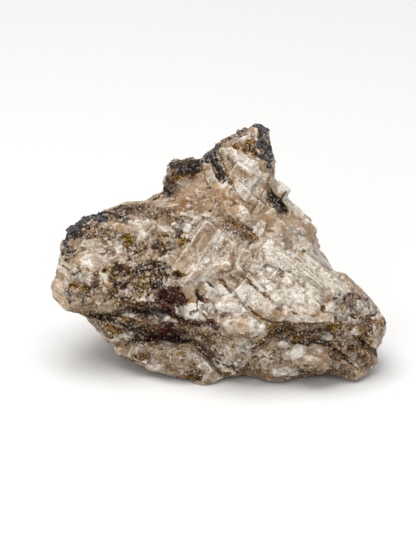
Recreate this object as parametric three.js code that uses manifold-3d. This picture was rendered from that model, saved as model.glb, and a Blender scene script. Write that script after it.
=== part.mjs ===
// Hand specimen of massive quartz with hematite: a leaning, craggy lump with one peak, cleaved
// blocks and laths on its show face, deep crevices, and a broken flat underneath to stand on.
// Millimetres, +Z up. The show face looks toward -Y and leans back from the viewer.
import * as THREE from 'three';
import { ConvexGeometry } from 'three/addons/geometries/ConvexGeometry.js';
import { TessellateModifier } from 'three/addons/modifiers/TessellateModifier.js';
import { ImprovedNoise } from 'three/addons/math/ImprovedNoise.js';
import { mergeVertices } from 'three/addons/utils/BufferGeometryUtils.js';
import Module from 'manifold-3d';

const wasm = await Module();
wasm.setup();

// ---- driving dimensions ----
const LEAN_BACK = 25; // degrees the show face leans back from upright
const BASE_DROP = 2.1; // height of the lowest front edge that the flat underneath cuts away
const GROUND_REACH = 200; // half width of the block that cuts the flat underneath
const FACET = 5.2; // longest edge of the roughened stone faces
const ROUGHNESS = 1.4; // how far the broken faces stray sideways
const ROUGH_OUT = 2; // how much further they stray outward than sideways
const ROUGH_GRAIN = 7; // spacing of that roughness
const NOISE_SHIFTS = [11.3, 27.7, 41.9]; // keep the three directions of the noise apart
const SHORTEST_EDGE = 0.6; // edges left shorter than this by joins and cuts are closed up
const MIN_FACING = 0.5; // how nearly a face must keep its direction when an edge is closed

// The show face is set out in its own plane: across (right), up, and out toward the viewer.
// Rim of the stone, clockwise from the left end, as [across, up, out].
const RIM = [
  // left end and the black corner above it
  [-56, 32.5, 4], [-55, 37.5, 3], [-54.3, 42, 2], [-52.6, 45.5, 0], [-51.3, 48.5, -1], [-50.5, 52, -2],
  [-48.5, 53.5, -2], [-46.5, 55.5, -3], [-43.5, 56, -3], [-41.5, 56.7, -2], [-37.5, 58.9, -1],
  // long shoulder rising to the dark lump
  [-31.5, 60, -3], [-24.5, 61.1, -3], [-19.3, 64, 0], [-18.5, 68, 2], [-17.5, 72, 2],
  [-15, 75.5, 0], [-9, 76, -1], [-6.5, 75.5, -2], [-3, 78.5, 0],
  // peak: sloping left side, steep black right side
  [0.5, 81, 2], [3.7, 83, 3], [9.5, 85.3, 3], [12.2, 86.9, 3], [14.7, 89.1, 3], [16.4, 89.3, 2],
  [17.7, 85, 1], [17.9, 79.5, 1], [18.7, 70, 1],
  // right flank running down in steps
  [20, 67.5, 1], [22, 64, 0], [23, 60.5, -1], [25.5, 57.5, -2], [28.5, 55, -2], [31, 52.5, -2],
  [33.4, 48.7, -2], [33.4, 45.7, -3], [36, 43, -4], [38.4, 38.5, -4], [42, 37.3, -1],
  [48.5, 31.2, 1], [53.4, 25.8, 3],
  // right end
  [55.5, 21.5, 3], [55.5, 17.5, 2], [54.2, 12.7, 0], [53, 11.5, -1], [53.2, 7, 1], [51.5, 5.5, 2],
  [48.5, 3.5, 3], [45.5, 1.5, 3],
  // lower edge, right to left
  [41.5, 2, 3], [32.5, 3.5, 2], [26.5, 1.5, 3], [22, 1.5, 4], [16, 1, 4], [10.5, 3.5, 2],
  [8, 4, 2], [3, 2.5, 3], [-2, 1, 4], [-5.5, 0, 5], [-7.5, 0, 5], [-10.5, 1.5, 4],
  [-14.5, 2.5, 3], [-23.5, 5, 1], [-28.5, 7, 0], [-34.5, 11.5, -3], [-39, 16, -3],
  [-44.5, 22, -1], [-46.5, 23.5, 3], [-51, 24.5, 6], [-53, 26.5, 6], [-55.5, 29.5, 5],
];

// Heights of the show face at chosen spots.
const FRONT_SPOTS = [
  // peak and upper face
  [12, 83, 6], [5.5, 78, 7], [13.5, 74.5, 8], [-1.5, 73, 6], [-11.5, 71.5, 7],
  [-13, 63, 5], [-3, 64.5, 9], [7, 64.5, 12], [15.5, 63, 9],
  // shoulder and right flank
  [-43, 51.5, 6], [-33, 54, 5], [-23, 56.5, 5], [-13, 56.5, 9], [-3, 54.5, 12],
  [8.5, 54.5, 13], [20.5, 54.5, 9], [28, 51.5, 4],
  [-48, 43, 8], [-39.5, 44.5, 10], [-29.5, 44.5, 11], [-19.5, 44.5, 12], [-9.5, 44.5, 15],
  [0.5, 44.5, 17], [9.5, 46.5, 13], [20.5, 44.5, 14], [29.5, 44.5, 9],
  // middle of the face
  [-51.5, 34, 10], [-43, 33, 13], [-33, 34.5, 14], [-23, 34.5, 14], [-16.5, 33, 13],
  [-8, 36.5, 18], [2, 31.5, 17], [12, 34.5, 17], [23.5, 34.5, 18], [33.5, 36.5, 14], [42, 32, 9],
  // ledge, the part that stands out furthest
  [-48, 28, 10], [-39.5, 27, 13], [-29.5, 27, 14], [-21.5, 27, 12], [-14.5, 27, 9],
  [-6.5, 24.5, 18], [2, 26.5, 20], [10.5, 28, 20], [22, 26.5, 21], [33, 26.5, 18],
  [43.5, 27.5, 13], [51, 24.5, 7],
  [-2.5, 20.5, 16], [5.5, 20.5, 20], [12, 19.5, 21], [18.5, 21.5, 21], [27.5, 21.5, 20],
  [37, 22, 17], [45.5, 20.5, 13], [52.5, 19.5, 6],
  // hollow under the ledge
  [-41.5, 21, 2], [-33, 20.5, 6], [-24.5, 21, 5], [-16.5, 21, 5], [-9.5, 20, 8],
  [-35.5, 14.5, 0], [-29, 16, 2], [-21.5, 15.5, -1], [-13, 15, -1], [-6.5, 14.5, 6],
  [0.5, 14, 12], [9.5, 14, 14], [18.5, 15.5, 13], [27, 16.5, 13], [35.5, 16.5, 13],
  [44.5, 15.5, 11], [51.5, 14.5, 4],
  // lower band
  [-29, 10.5, 4], [-22.5, 11.5, 6], [-14, 11, 7], [-5.5, 9.5, 8], [2.5, 10, 10],
  [10.5, 10, 12], [19, 10.5, 13], [28.5, 10.5, 15], [38.5, 10, 11], [47.5, 10.5, 6],
  [-21.5, 6.5, 5], [-13, 5, 7], [-4.5, 4, 8], [5.5, 5.5, 8], [15.5, 4.5, 8], [27, 5.5, 10],
  [37, 5.5, 7], [45.5, 5, 6],
];

// Depths of the broken back at chosen spots; the lowest of them are cut off by the flat base.
const BACK_SPOTS = [
  [12, 81.5, -8], [15.5, 73, -9], [5.5, 74.5, -14], [-4.5, 70.5, -13], [-13, 69.5, -11],
  [7, 63, -22], [17, 59.5, -15], [-13, 61.5, -16], [-3, 56.5, -24],
  [-43, 50.5, -12], [-33, 53, -14], [-23, 55.5, -16], [-39.5, 43, -22], [-26.5, 44.5, -27],
  [-13, 48, -27], [0.5, 46.5, -32], [13.5, 49.5, -27], [25.5, 49.5, -14], [30.5, 41.5, -16],
  [-51.5, 38, -8], [-49.5, 29.5, -10], [-43, 34.5, -22], [-33, 33, -31], [-18, 34.5, -37],
  [-1.5, 33, -41], [15.5, 36.5, -37], [28.5, 33, -29], [42, 29.5, -17], [50.5, 23, -10],
  [-44.5, 26.5, -18], [-38, 23, -24], [-26.5, 23, -38], [-9.5, 21.5, -44], [7, 21.5, -46],
  [23.5, 23, -41], [38.5, 21.5, -28], [49.5, 16.5, -14],
  [-33, 13, -20], [-16.5, 9.5, -30], [3.5, 11.5, -36], [27, 11.5, -34], [43.5, 9.5, -18],
  [-6.5, 4, -14], [17, 4.5, -14], [40.5, 5.5, -9],
];

// Cleaved quartz: flat-faced pieces as { at: [across, up], size: [long, wide, thick], proud, turn,
// tip, roll }. Proud is how far the middle of the top face stands above the face around it, turn
// is counter-clockwise, tip raises the upper long side and roll raises the right end.
const CLEAVED = [
  // upper face: stepped cubes and the small crystal on the right edge
  { at: [8, 69], size: [9, 7, 9], proud: 0.4, turn: -35, tip: -6, roll: 4 },
  { at: [6, 63.5], size: [7, 6.5, 8], proud: 0.6, turn: -38, tip: 5, roll: -4 },
  { at: [11.5, 59.5], size: [7, 5, 8], proud: 0.5, turn: -42, tip: -4, roll: 5 },
  { at: [2, 76], size: [10, 6, 8], proud: 0.3, turn: 25, tip: -5, roll: 3 },
  { at: [7.5, 79.5], size: [8, 5, 8], proud: 0.3, turn: 30, tip: 4, roll: -5 },
  { at: [-0.5, 67], size: [9, 5, 7], proud: 0.3, turn: -50, tip: 4, roll: 4 },
  { at: [20.9, 65.2], size: [5.2, 3.6, 7], proud: 1.8, turn: -38, tip: -7.5, roll: 6 },
  { at: [25.3, 58], size: [12, 2.8, 9], proud: 0.9, turn: -44, tip: 6, roll: 2 },
  { at: [29.5, 52], size: [6, 4, 6], proud: 0.5, turn: -50, tip: 5, roll: 4 },
  { at: [-5, 58], size: [10, 6, 7], proud: 0.3, turn: 18, tip: 5, roll: -3 },
  { at: [-14, 58], size: [8, 5, 7], proud: 0.3, turn: 12, tip: -5, roll: 4 },
  { at: [3, 51], size: [9, 6, 8], proud: 0.4, turn: 35, tip: 4, roll: 5 },
  { at: [13.7, 51.5], size: [5.5, 3.6, 7], proud: 0.6, turn: 80, tip: 5, roll: -4 },
  { at: [22, 50], size: [8, 5, 7], proud: 0.3, turn: -48, tip: -5, roll: 4 },
  // shoulder and left half
  { at: [-32, 52], size: [9, 5, 6], proud: 0.4, turn: 25, tip: 6, roll: -3 },
  { at: [-26.5, 47.5], size: [8, 2.4, 6], proud: 0.5, turn: 48, tip: 4, roll: 3 },
  { at: [-23.5, 50], size: [8, 2.2, 6], proud: 0.5, turn: 52, tip: -4, roll: 3 },
  { at: [-41, 46.5], size: [8.5, 4.5, 7], proud: 0.5, turn: -22, tip: 4, roll: -4 },
  { at: [-46, 41.5], size: [7, 5, 7], proud: 0.5, turn: 15, tip: -4, roll: 4 },
  { at: [-35.5, 40.5], size: [6, 5, 7], proud: 0.5, turn: -30, tip: 5, roll: 3 },
  { at: [-41.5, 29.5], size: [6.5, 4, 7], proud: 0.5, turn: 12, tip: 5, roll: -5 },
  { at: [-33.5, 28], size: [6.5, 4, 7], proud: 0.4, turn: -15, tip: 6, roll: 4 },
  // streaked plate in the middle, standing up to the right, with its lower lip
  { at: [-5.5, 44.5], size: [17, 11, 9], proud: 0.7, turn: 52, tip: -3.5, roll: 2.5 },
  { at: [-9.5, 42.5], size: [14, 4, 8], proud: 0.7, turn: 47, tip: 2.5, roll: -2 },
  { at: [0.8, 43.5], size: [11, 6, 8], proud: 0.9, turn: 68, tip: -4.5, roll: 2.5 },
  { at: [-3, 50], size: [9, 5, 7], proud: 0.5, turn: 40, tip: 3, roll: 4 },
  { at: [-3.5, 37.6], size: [17, 2.8, 7], proud: 0.8, turn: 15, tip: 7, roll: 2 },
  // small steps beside the plate
  { at: [8, 43], size: [5.5, 4.5, 7], proud: 1, turn: -34, tip: 4, roll: -5 },
  { at: [11.5, 38.5], size: [5.5, 4, 7], proud: 0.7, turn: -38, tip: 5, roll: 3 },
  { at: [7, 37], size: [4.5, 3.8, 7], proud: 1, turn: -42, tip: -4, roll: 4 },
  // fibrous white laths running down to the right
  { at: [18, 41.2], size: [10, 4, 8], proud: 0.9, turn: -12, tip: 5, roll: -3 },
  { at: [27, 44], size: [14, 3.6, 8], proud: 0.7, turn: -40, tip: 5, roll: 2 },
  { at: [31.5, 38.5], size: [17, 3.4, 9], proud: 1, turn: -41, tip: 7, roll: 2 },
  { at: [27.5, 37], size: [18, 3.2, 9], proud: 0.7, turn: -39, tip: -4, roll: 2 },
  { at: [36, 33.5], size: [13, 3.6, 8], proud: 0.9, turn: -45, tip: 6, roll: 2 },
  { at: [22, 33.5], size: [12, 3.6, 8], proud: 0.7, turn: -33, tip: 5, roll: 3 },
  { at: [28.5, 26.8], size: [10.5, 4.4, 8], proud: 0.8, turn: -30, tip: 6, roll: 3 },
  // large flat cream cleavage face and the small bright cubes left of it
  { at: [11.8, 28.6], size: [15.5, 8.2, 10], proud: 1.1, turn: -47, tip: 2, roll: -1 },
  { at: [0.8, 31.6], size: [4.6, 4, 7], proud: 1.1, turn: -28, tip: 5, roll: -4 },
  { at: [3.4, 29.6], size: [3.6, 3, 6], proud: 1.2, turn: -20, tip: -4, roll: 4 },
  { at: [-2.2, 29.2], size: [4, 4, 7], proud: 1.1, turn: -35, tip: 4, roll: 5 },
  // grey slab that makes the sharp edge of the ledge on the right
  { at: [29.4, 21.8], size: [16, 3.4, 9], proud: 1.3, turn: -4, tip: 12, roll: 1 },
  { at: [36.5, 23.5], size: [8, 3.4, 8], proud: 1, turn: -20, tip: 7, roll: 2 },
  // angular crystals of the lower band
  { at: [11.5, 14.8], size: [7, 4, 8], proud: 1, turn: 30, tip: 6, roll: -4 },
  { at: [18, 13.2], size: [8, 4.4, 8], proud: 1, turn: 38, tip: -5, roll: 4 },
  { at: [15.5, 8.5], size: [7, 4, 7], proud: 0.6, turn: 20, tip: 5, roll: 3 },
  { at: [4, 10.5], size: [8, 4, 7], proud: 0.7, turn: -42, tip: 4, roll: 4 },
  { at: [36, 11], size: [9, 4, 7], proud: 0.6, turn: 28, tip: 6, roll: -3 },
  { at: [42, 9], size: [10, 3, 7], proud: 0.7, turn: 34, tip: -4, roll: 3 },
  { at: [46, 7], size: [9, 3, 7], proud: 0.5, turn: 36, tip: 5, roll: 2 },
  { at: [-30.5, 23.2], size: [8.5, 3.2, 7], proud: 1.2, turn: 22, tip: 6, roll: 3 },
  { at: [-31.2, 17.2], size: [5, 4, 7], proud: 1.6, turn: -15, tip: 4, roll: -4 },
  { at: [-26.5, 9.4], size: [6.5, 3.6, 6], proud: 0.8, turn: -24, tip: 5, roll: 3 },
];

// Rounded, broken lumps, as { at: [across, up], size: [long, wide, thick], proud, turn }.
const LUMPS = [
  // black hematite lumps: upper left, top-left corner, right side of the peak
  { at: [-12.5, 70.5], size: [12, 10, 11], proud: 3, turn: 10 },
  { at: [-9, 73.5], size: [6, 5, 7], proud: 2, turn: -20 },
  { at: [-16, 67], size: [6, 7, 7], proud: 2, turn: 30 },
  { at: [-4, 74.5], size: [7, 4.5, 7], proud: 1.6, turn: 20 },
  { at: [-48, 50.5], size: [7, 6.5, 8], proud: 2, turn: 40 },
  { at: [-44, 53.5], size: [7, 4.5, 7], proud: 1.6, turn: 15 },
  { at: [-51, 46], size: [4.5, 6, 7], proud: 1.6, turn: -10 },
  { at: [14.8, 82], size: [5, 10, 7], proud: 1.2, turn: 8 },
  { at: [16, 74], size: [4, 9, 7], proud: 1.2, turn: 4 },
  // left end
  { at: [-52.5, 31.5], size: [7, 10, 11], proud: 3, turn: 15 },
  { at: [-36.4, 33], size: [6.5, 7.5, 8], proud: 2, turn: 10 },
  { at: [-47.5, 36.5], size: [7, 6, 8], proud: 1.6, turn: -30 },
  { at: [-27, 38.5], size: [7, 6, 7], proud: 1.2, turn: 25 },
  { at: [-20.5, 41.5], size: [7, 5.5, 7], proud: 1.6, turn: 30 },
  { at: [-23, 31], size: [8, 6, 7], proud: 1.4, turn: -15 },
  { at: [-22, 23.5], size: [8, 5, 7], proud: 2, turn: 5 },
  { at: [-17.5, 22.5], size: [5, 6, 7], proud: 2.4, turn: -30 },
  // pale knob, drape over it and the white knob crystal at the nose of the ledge
  { at: [-8, 24.8], size: [8.5, 8, 10], proud: 3, turn: -10 },
  { at: [-2.5, 25], size: [5, 6.5, 8], proud: 1.6, turn: 20 },
  { at: [3, 25.8], size: [11, 5, 8], proud: 2.4, turn: -12 },
  { at: [7.4, 20.3], size: [17.5, 8.5, 12], proud: 3.8, turn: -4 },
  { at: [13.5, 19.5], size: [7, 5, 8], proud: 2.2, turn: -20 },
  { at: [3, 17.6], size: [6, 4.5, 8], proud: 3, turn: 15 },
  // right flank and right end
  { at: [20, 57], size: [7, 6, 7], proud: 1.2, turn: -40 },
  { at: [26.5, 50.5], size: [7, 6, 7], proud: 1.2, turn: -50 },
  { at: [31, 46], size: [5.5, 5, 6], proud: 1.4, turn: 10 },
  { at: [42.5, 31.5], size: [8, 6, 8], proud: 1.6, turn: -35 },
  { at: [46, 25.5], size: [9, 7, 8], proud: 1.4, turn: -40 },
  { at: [50, 19.5], size: [8, 8, 8], proud: 1.4, turn: 20 },
  { at: [44, 18], size: [8, 6, 8], proud: 1.6, turn: 15 },
  { at: [49, 12.5], size: [8, 6, 8], proud: 1.4, turn: 35 },
  // lower band
  { at: [30, 9], size: [17, 10, 11], proud: 3, turn: -6 },
  { at: [26, 11.2], size: [8, 6, 8], proud: 2.6, turn: 20 },
  { at: [33.5, 8.4], size: [8, 7, 8], proud: 2.8, turn: -25 },
  { at: [22, 5.2], size: [13, 5, 8], proud: 1.8, turn: 8 },
  { at: [-16.8, 9.4], size: [16, 10, 11], proud: 2.8, turn: -8 },
  { at: [-12, 7.8], size: [9, 6, 8], proud: 2.6, turn: -20 },
  { at: [-32.5, 11.2], size: [6, 4.6, 7], proud: 2, turn: -30 },
  { at: [-3, 6], size: [8, 6, 8], proud: 1.4, turn: 20 },
  { at: [-34, 19.4], size: [5, 4, 6], proud: 1.8, turn: 0 },
];

// Crevices cut into the face: { path: [[across, up], ...], wide, deep }.
const CREVICES = [
  // deep gap under the ledge, from the left end to the middle, and its lower branch
  { path: [[-44.5, 23.6], [-38, 22.8], [-29.5, 25], [-20, 24.6], [-12.5, 22.6], [-6, 19.8]],
    wide: 1.5, deep: 3.9 },
  { path: [[-28, 16.4], [-19, 14.4], [-9.6, 13], [-4, 8.6], [1, 3.4]], wide: 1.5, deep: 2.8 },
  // maroon pocket and the dark slot running down from it
  { path: [[-20, 30.6], [-16, 28], [-12.5, 27.6]], wide: 3.6, deep: 2.8 },
  { path: [[-15.5, 29], [-13, 25.4], [-12, 22.6]], wide: 1.9, deep: 3.9 },
  // dark slot on the right of the upper face
  { path: [[16.2, 66], [19, 61.6], [23, 57]], wide: 1.9, deep: 2.8 },
  // dark wedge beside the upper-left lump
  { path: [[-2, 74], [-0.5, 70], [1, 68]], wide: 1.8, deep: 2 },
  // fissure below the thin pink sheet on the shoulder
  { path: [[-38, 55.6], [-33, 54.6], [-29.5, 53.4]], wide: 1, deep: 2 },
  // fissures round the cream cleavage face
  { path: [[7, 36.4], [12.6, 31.4], [17.4, 27.6]], wide: 0.7, deep: 2 },
  { path: [[4.6, 30.4], [10.2, 24], [14.2, 20.8]], wide: 0.7, deep: 2 },
  // slits between the small cubes
  { path: [[-3.6, 33.6], [-1.8, 32]], wide: 0.8, deep: 2 },
  { path: [[0.4, 34.6], [4.4, 31.2]], wide: 0.8, deep: 2 },
  { path: [[-7.2, 31], [-5.6, 24.2]], wide: 0.7, deep: 2 },
  // shadowed gap under the grey slab
  { path: [[16, 17.8], [23, 18.4], [31, 18.2], [40.5, 19.6]], wide: 1.5, deep: 2.8 },
  // gap above the rounded lump of the lower band
  { path: [[20.5, 15.4], [24, 14.4], [31, 14.8], [38, 13.6]], wide: 1, deep: 2 },
  // crack across the left end
  { path: [[-53.5, 40.4], [-49, 37.4]], wide: 0.7, deep: 1.7 },
  // golden pockets on the left half
  { path: [[-31.5, 47.6], [-29.6, 45.4]], wide: 1.9, deep: 1.7 },
  { path: [[-24.4, 35.4], [-23.6, 31.6]], wide: 1.2, deep: 1.7 },
  { path: [[-36, 38.4], [-32.4, 38.6]], wide: 1, deep: 1.7 },
  // gap beside the large laths
  { path: [[19.6, 38], [22.6, 36.4], [26, 32.6]], wide: 0.7, deep: 1.7 },
];

// Scattered angular grains that finish the surface: small ones on the show face, broken blocks
// on the back. Sink is the share of a grain's size that its middle lies below the surface.
const FACE_GRAINS = { count: 90, small: 3, large: 6, sink: 0.32 };
const BACK_GRAINS = { count: 75, small: 7, large: 19, sink: 0.3 };
const SEED = 49;

// ---- helpers ----

// Repeatable random numbers from 0 to 1.
function seededRandom(seed) {
  let state = seed;
  return () => {
    state = (state * 16807) % 2147483647;
    return state / 2147483647;
  };
}

const random = seededRandom(SEED);
const jitter = (amount) => (random() * 2 - 1) * amount;

function signedArea(a, b, c) {
  return ((b.x - a.x) * (c.y - a.y) - (c.x - a.x) * (b.y - a.y)) / 2;
}

// Weights of a point in a triangle; all positive when the point is inside.
function cornerWeights(point, [a, b, c]) {
  const whole = signedArea(a, b, c);
  return [signedArea(point, b, c), signedArea(a, point, c), signedArea(a, b, point)]
    .map((area) => area / whole);
}

// True when d lies inside the circle through a, b and c (counter-clockwise).
function insideCircle(a, b, c, d) {
  const rows = [a, b, c].map((p) => [p.x - d.x, p.y - d.y, (p.x - d.x) ** 2 + (p.y - d.y) ** 2]);
  return new THREE.Matrix3().set(...rows.flat()).determinant() > 0;
}

// Swaps shared sides of neighbouring triangles until none is needlessly long and thin.
function swapLongSides(points, triangles) {
  const sideOwners = new Map();
  triangles.forEach((triangle, index) => {
    triangle.forEach((from, k) => sideOwners.set(`${from},${triangle[(k + 1) % 3]}`, [index, k]));
  });
  const touched = new Set();
  for (const [side, [index, k]] of sideOwners) {
    const [from, to] = side.split(',').map(Number);
    const across = sideOwners.get(`${to},${from}`);
    if (!across || touched.has(index) || touched.has(across[0])) continue;
    const near = triangles[index][(k + 2) % 3];
    const far = triangles[across[0]][(across[1] + 2) % 3];
    if (!insideCircle(points[from], points[to], points[near], points[far])) continue;
    triangles[index] = [near, from, far];
    triangles[across[0]] = [near, far, to];
    touched.add(index).add(across[0]);
  }
  return touched.size > 0;
}

// Triangles over a rim and the spots inside it, all counter-clockwise.
function spanSpots(spots) {
  const points = [...RIM, ...spots].map(([across, up]) => new THREE.Vector2(across, up));
  const triangles = THREE.ShapeUtils.triangulateShape(points.slice(0, RIM.length), [])
    .map(([a, b, c]) => (signedArea(points[a], points[b], points[c]) > 0 ? [a, b, c] : [a, c, b]));
  for (let spot = RIM.length; spot < points.length; spot++) {
    const holds = ([a, b, c]) => cornerWeights(points[spot], [points[a], points[b], points[c]])
      .every((weight) => weight >= 0);
    const home = triangles.findIndex(holds);
    const [a, b, c] = triangles[home];
    triangles.splice(home, 1, [a, b, spot], [b, c, spot], [c, a, spot]);
  }
  while (swapLongSides(points, triangles));
  return triangles;
}

const frontTriangles = spanSpots(FRONT_SPOTS);
const backTriangles = spanSpots(BACK_SPOTS);
const frontPoints = [...RIM, ...FRONT_SPOTS];

// How far out the show face is at a place on it; places beyond the rim take the nearest spot.
function faceHeight(across, up) {
  const here = new THREE.Vector2(across, up);
  for (const triangle of frontTriangles) {
    const corners = triangle.map((index) => frontPoints[index]);
    const weights = cornerWeights(here, corners.map(([x, y]) => new THREE.Vector2(x, y)));
    if (weights.every((weight) => weight >= 0)) {
      return weights.reduce((sum, weight, k) => sum + weight * corners[k][2], 0);
    }
  }
  const gap = (spot) => Math.hypot(spot[0] - across, spot[1] - up);
  return frontPoints.reduce((best, spot) => (gap(spot) < gap(best) ? spot : best))[2];
}

// Geometry of some faces with the corners they use.
function weldUsed(points, faces) {
  const corners = faces.flat().map((corner) => points[corner].toArray());
  const geometry = new THREE.BufferGeometry();
  geometry.setAttribute('position', new THREE.Float32BufferAttribute(corners.flat(), 3));
  return mergeVertices(geometry, 1e-4);
}

function geometryFrom(vertices, triangles) {
  const geometry = new THREE.BufferGeometry();
  geometry.setAttribute('position', new THREE.Float32BufferAttribute(vertices.flat(), 3));
  geometry.setIndex(triangles.flat());
  return geometry;
}

// Bare geometry, with only positions, whose touching corners are shared.
function weld(geometry) {
  geometry.deleteAttribute('normal');
  geometry.deleteAttribute('uv');
  return mergeVertices(geometry, 1e-4);
}

function toManifold(geometry) {
  const welded = weld(geometry);
  return new wasm.Manifold(new wasm.Mesh({
    numProp: 3,
    vertProperties: new Float32Array(welded.attributes.position.array),
    triVerts: new Uint32Array(welded.index.array),
  }));
}

function toGeometry(manifold) {
  const mesh = manifold.getMesh();
  const geometry = new THREE.BufferGeometry();
  geometry.setAttribute('position', new THREE.BufferAttribute(mesh.vertProperties.slice(), 3));
  geometry.setIndex(Array.from(mesh.triVerts));
  return geometry;
}

// Moves every corner a little, by smooth noise, so that broken faces are not flat.
function roughen(geometry) {
  const noise = new ImprovedNoise();
  const position = geometry.attributes.position;
  const point = new THREE.Vector3();
  for (let i = 0; i < position.count; i++) {
    point.fromBufferAttribute(position, i);
    const [x, y, z] = point.toArray().map((value) => value / ROUGH_GRAIN);
    const push = new THREE.Vector3(
      noise.noise(x + NOISE_SHIFTS[0], y, z),
      noise.noise(x, y + NOISE_SHIFTS[1], z),
      noise.noise(x, y, z + NOISE_SHIFTS[2]) * ROUGH_OUT,
    );
    point.addScaledVector(push, ROUGHNESS);
    position.setXYZ(i, ...point.toArray());
  }
}

// Closes up edges shorter than a limit, so that joins and cuts leave no slivers: the two ends of
// each become one corner wherever that keeps the skin whole and turns no face over.
function closeShortEdges(geometry, limit) {
  const position = geometry.attributes.position;
  const points = Array.from({ length: position.count }, (_, i) =>
    new THREE.Vector3().fromBufferAttribute(position, i));
  const faces = [];
  for (let i = 0; i < geometry.index.count; i += 3) {
    faces.push([0, 1, 2].map((k) => geometry.index.getX(i + k)));
  }
  const facesAt = points.map(() => new Set());
  faces.forEach((face, index) => face.forEach((corner) => facesAt[corner].add(index)));
  const around = (corner) => new Set([...facesAt[corner]].flatMap((index) => faces[index]));
  const normalOf = (corners) => new THREE.Triangle(...corners).getNormal(new THREE.Vector3());

  const staysFacing = (moved, other, target) => [...facesAt[moved]].every((index) => {
    if (faces[index].includes(other)) return true;
    const before = faces[index].map((corner) => points[corner]);
    const after = faces[index].map((corner) => (corner === moved ? target : points[corner]));
    return normalOf(before).dot(normalOf(after)) > MIN_FACING;
  });

  const tryClosing = (keep, drop) => {
    const shared = [...around(keep)].filter((corner) => around(drop).has(corner));
    if (shared.length !== 4) return false;
    const target = points[keep].clone().lerp(points[drop], 0.5);
    if (!staysFacing(keep, drop, target) || !staysFacing(drop, keep, target)) return false;
    for (const index of [...facesAt[drop]]) {
      if (faces[index].includes(keep)) {
        faces[index].forEach((corner) => facesAt[corner].delete(index));
        faces[index] = null;
      } else {
        faces[index] = faces[index].map((corner) => (corner === drop ? keep : corner));
        facesAt[keep].add(index);
      }
    }
    facesAt[drop].clear();
    points[keep].copy(target);
    return true;
  };

  let closed = true;
  while (closed) {
    closed = false;
    for (let index = 0; index < faces.length; index++) {
      for (let k = 0; k < 3 && faces[index]; k++) {
        const [from, to] = [faces[index][k], faces[index][(k + 1) % 3]];
        if (points[from].distanceTo(points[to]) < limit && tryClosing(from, to)) closed = true;
      }
    }
  }
  return weldUsed(points, faces.filter(Boolean));
}

// ---- main stone ----
function stoneBody() {
  const vertices = [...RIM, ...FRONT_SPOTS, ...BACK_SPOTS];
  const shift = (index) => (index < RIM.length ? index : index + FRONT_SPOTS.length);
  const back = backTriangles.map(([a, b, c]) => [shift(a), shift(c), shift(b)]);
  const coarse = geometryFrom(vertices, [...frontTriangles, ...back]);
  const fine = weld(new TessellateModifier(FACET, 8).modify(coarse));
  roughen(fine);
  return fine;
}

// ---- pieces grown on the face ----

// Puts a piece made round the origin on the show face, its top standing proud of it.
function placeOnFace(geometry, { at: [across, up], size, proud, turn, tip = 0, roll = 0 }) {
  const { degToRad } = THREE.MathUtils;
  geometry.rotateX(degToRad(-tip));
  geometry.rotateY(degToRad(-roll));
  geometry.rotateZ(degToRad(turn));
  geometry.translate(across, up, faceHeight(across, up) + proud - size[2] / 2);
  return geometry;
}

// A flat-faced piece whose corners are a little out of square.
function cleavedPiece(piece) {
  const [long, wide, thick] = piece.size;
  const corners = [];
  for (const x of [-1, 1]) {
    for (const y of [-1, 1]) {
      for (const z of [-1, 1]) {
        corners.push(new THREE.Vector3(
          (x * long) / 2 + jitter(long * 0.07),
          (y * wide) / 2 + jitter(wide * 0.1),
          (z * thick) / 2 + jitter(0.25),
        ));
      }
    }
  }
  return placeOnFace(new ConvexGeometry(corners), piece);
}

// A lump with many small uneven faces.
function lumpPoints([long, wide, thick], count) {
  const golden = Math.PI * (3 - Math.sqrt(5));
  return Array.from({ length: count }, (_, i) => {
    const z = 1 - (2 * i + 1) / count;
    const ring = Math.sqrt(1 - z * z);
    const swell = 1 + jitter(0.16);
    return new THREE.Vector3(
      (Math.cos(i * golden) * ring * swell * long) / 2,
      (Math.sin(i * golden) * ring * swell * wide) / 2,
      (z * swell * thick) / 2,
    );
  });
}

function lump(piece) {
  return placeOnFace(new ConvexGeometry(lumpPoints(piece.size, 22)), piece);
}

// ---- crevices ----

// One stretch of a crevice: a wedge that is widest above the face and comes to an edge below it.
function crevicePart(from, to, wide, deep) {
  const along = new THREE.Vector2(to[0] - from[0], to[1] - from[1]).normalize();
  const points = [];
  for (const [end, reach] of [[from, -0.6], [to, 0.6]]) {
    const across = end[0] + along.x * reach;
    const up = end[1] + along.y * reach;
    const height = faceHeight(end[0], end[1]);
    for (const [side, out] of [[-1, 5], [1, 5], [-0.28, -deep], [0.28, -deep]]) {
      const spread = side * (out > 0 ? wide : wide / 2);
      points.push(new THREE.Vector3(
        across - along.y * spread,
        up + along.x * spread,
        height + out,
      ));
    }
  }
  return new ConvexGeometry(points);
}

function creviceParts({ path, wide, deep }) {
  return path.slice(1).map((end, i) => crevicePart(path[i], end, wide, deep));
}

// ---- scattered grains ----

// Angular grains let into the surface at random places away from the rim.
function scatteredGrains(triangles, spots, { count, small, large, sink }, outward) {
  const points = [...RIM, ...spots].map((spot) => new THREE.Vector3(...spot));
  const inner = triangles.filter((corners) => corners.filter((c) => c < RIM.length).length < 2);
  return Array.from({ length: count }, () => {
    const corners = inner[Math.floor(random() * inner.length)].map((corner) => points[corner]);
    const [first, second] = [random(), random()].sort((a, b) => a - b);
    const place = new THREE.Vector3()
      .addScaledVector(corners[0], first)
      .addScaledVector(corners[1], second - first)
      .addScaledVector(corners[2], 1 - second);
    const normal = new THREE.Triangle(...corners).getNormal(new THREE.Vector3());
    const size = small + (large - small) * random() ** 2;
    const shape = [size, size * (0.6 + 0.3 * random()), size * (0.6 + 0.3 * random())];
    const grain = new ConvexGeometry(lumpPoints(shape, 12));
    grain.rotateX(random() * Math.PI);
    grain.rotateZ(random() * Math.PI);
    return grain.translate(...place.addScaledVector(normal, -outward * size * sink).toArray());
  });
}

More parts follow.
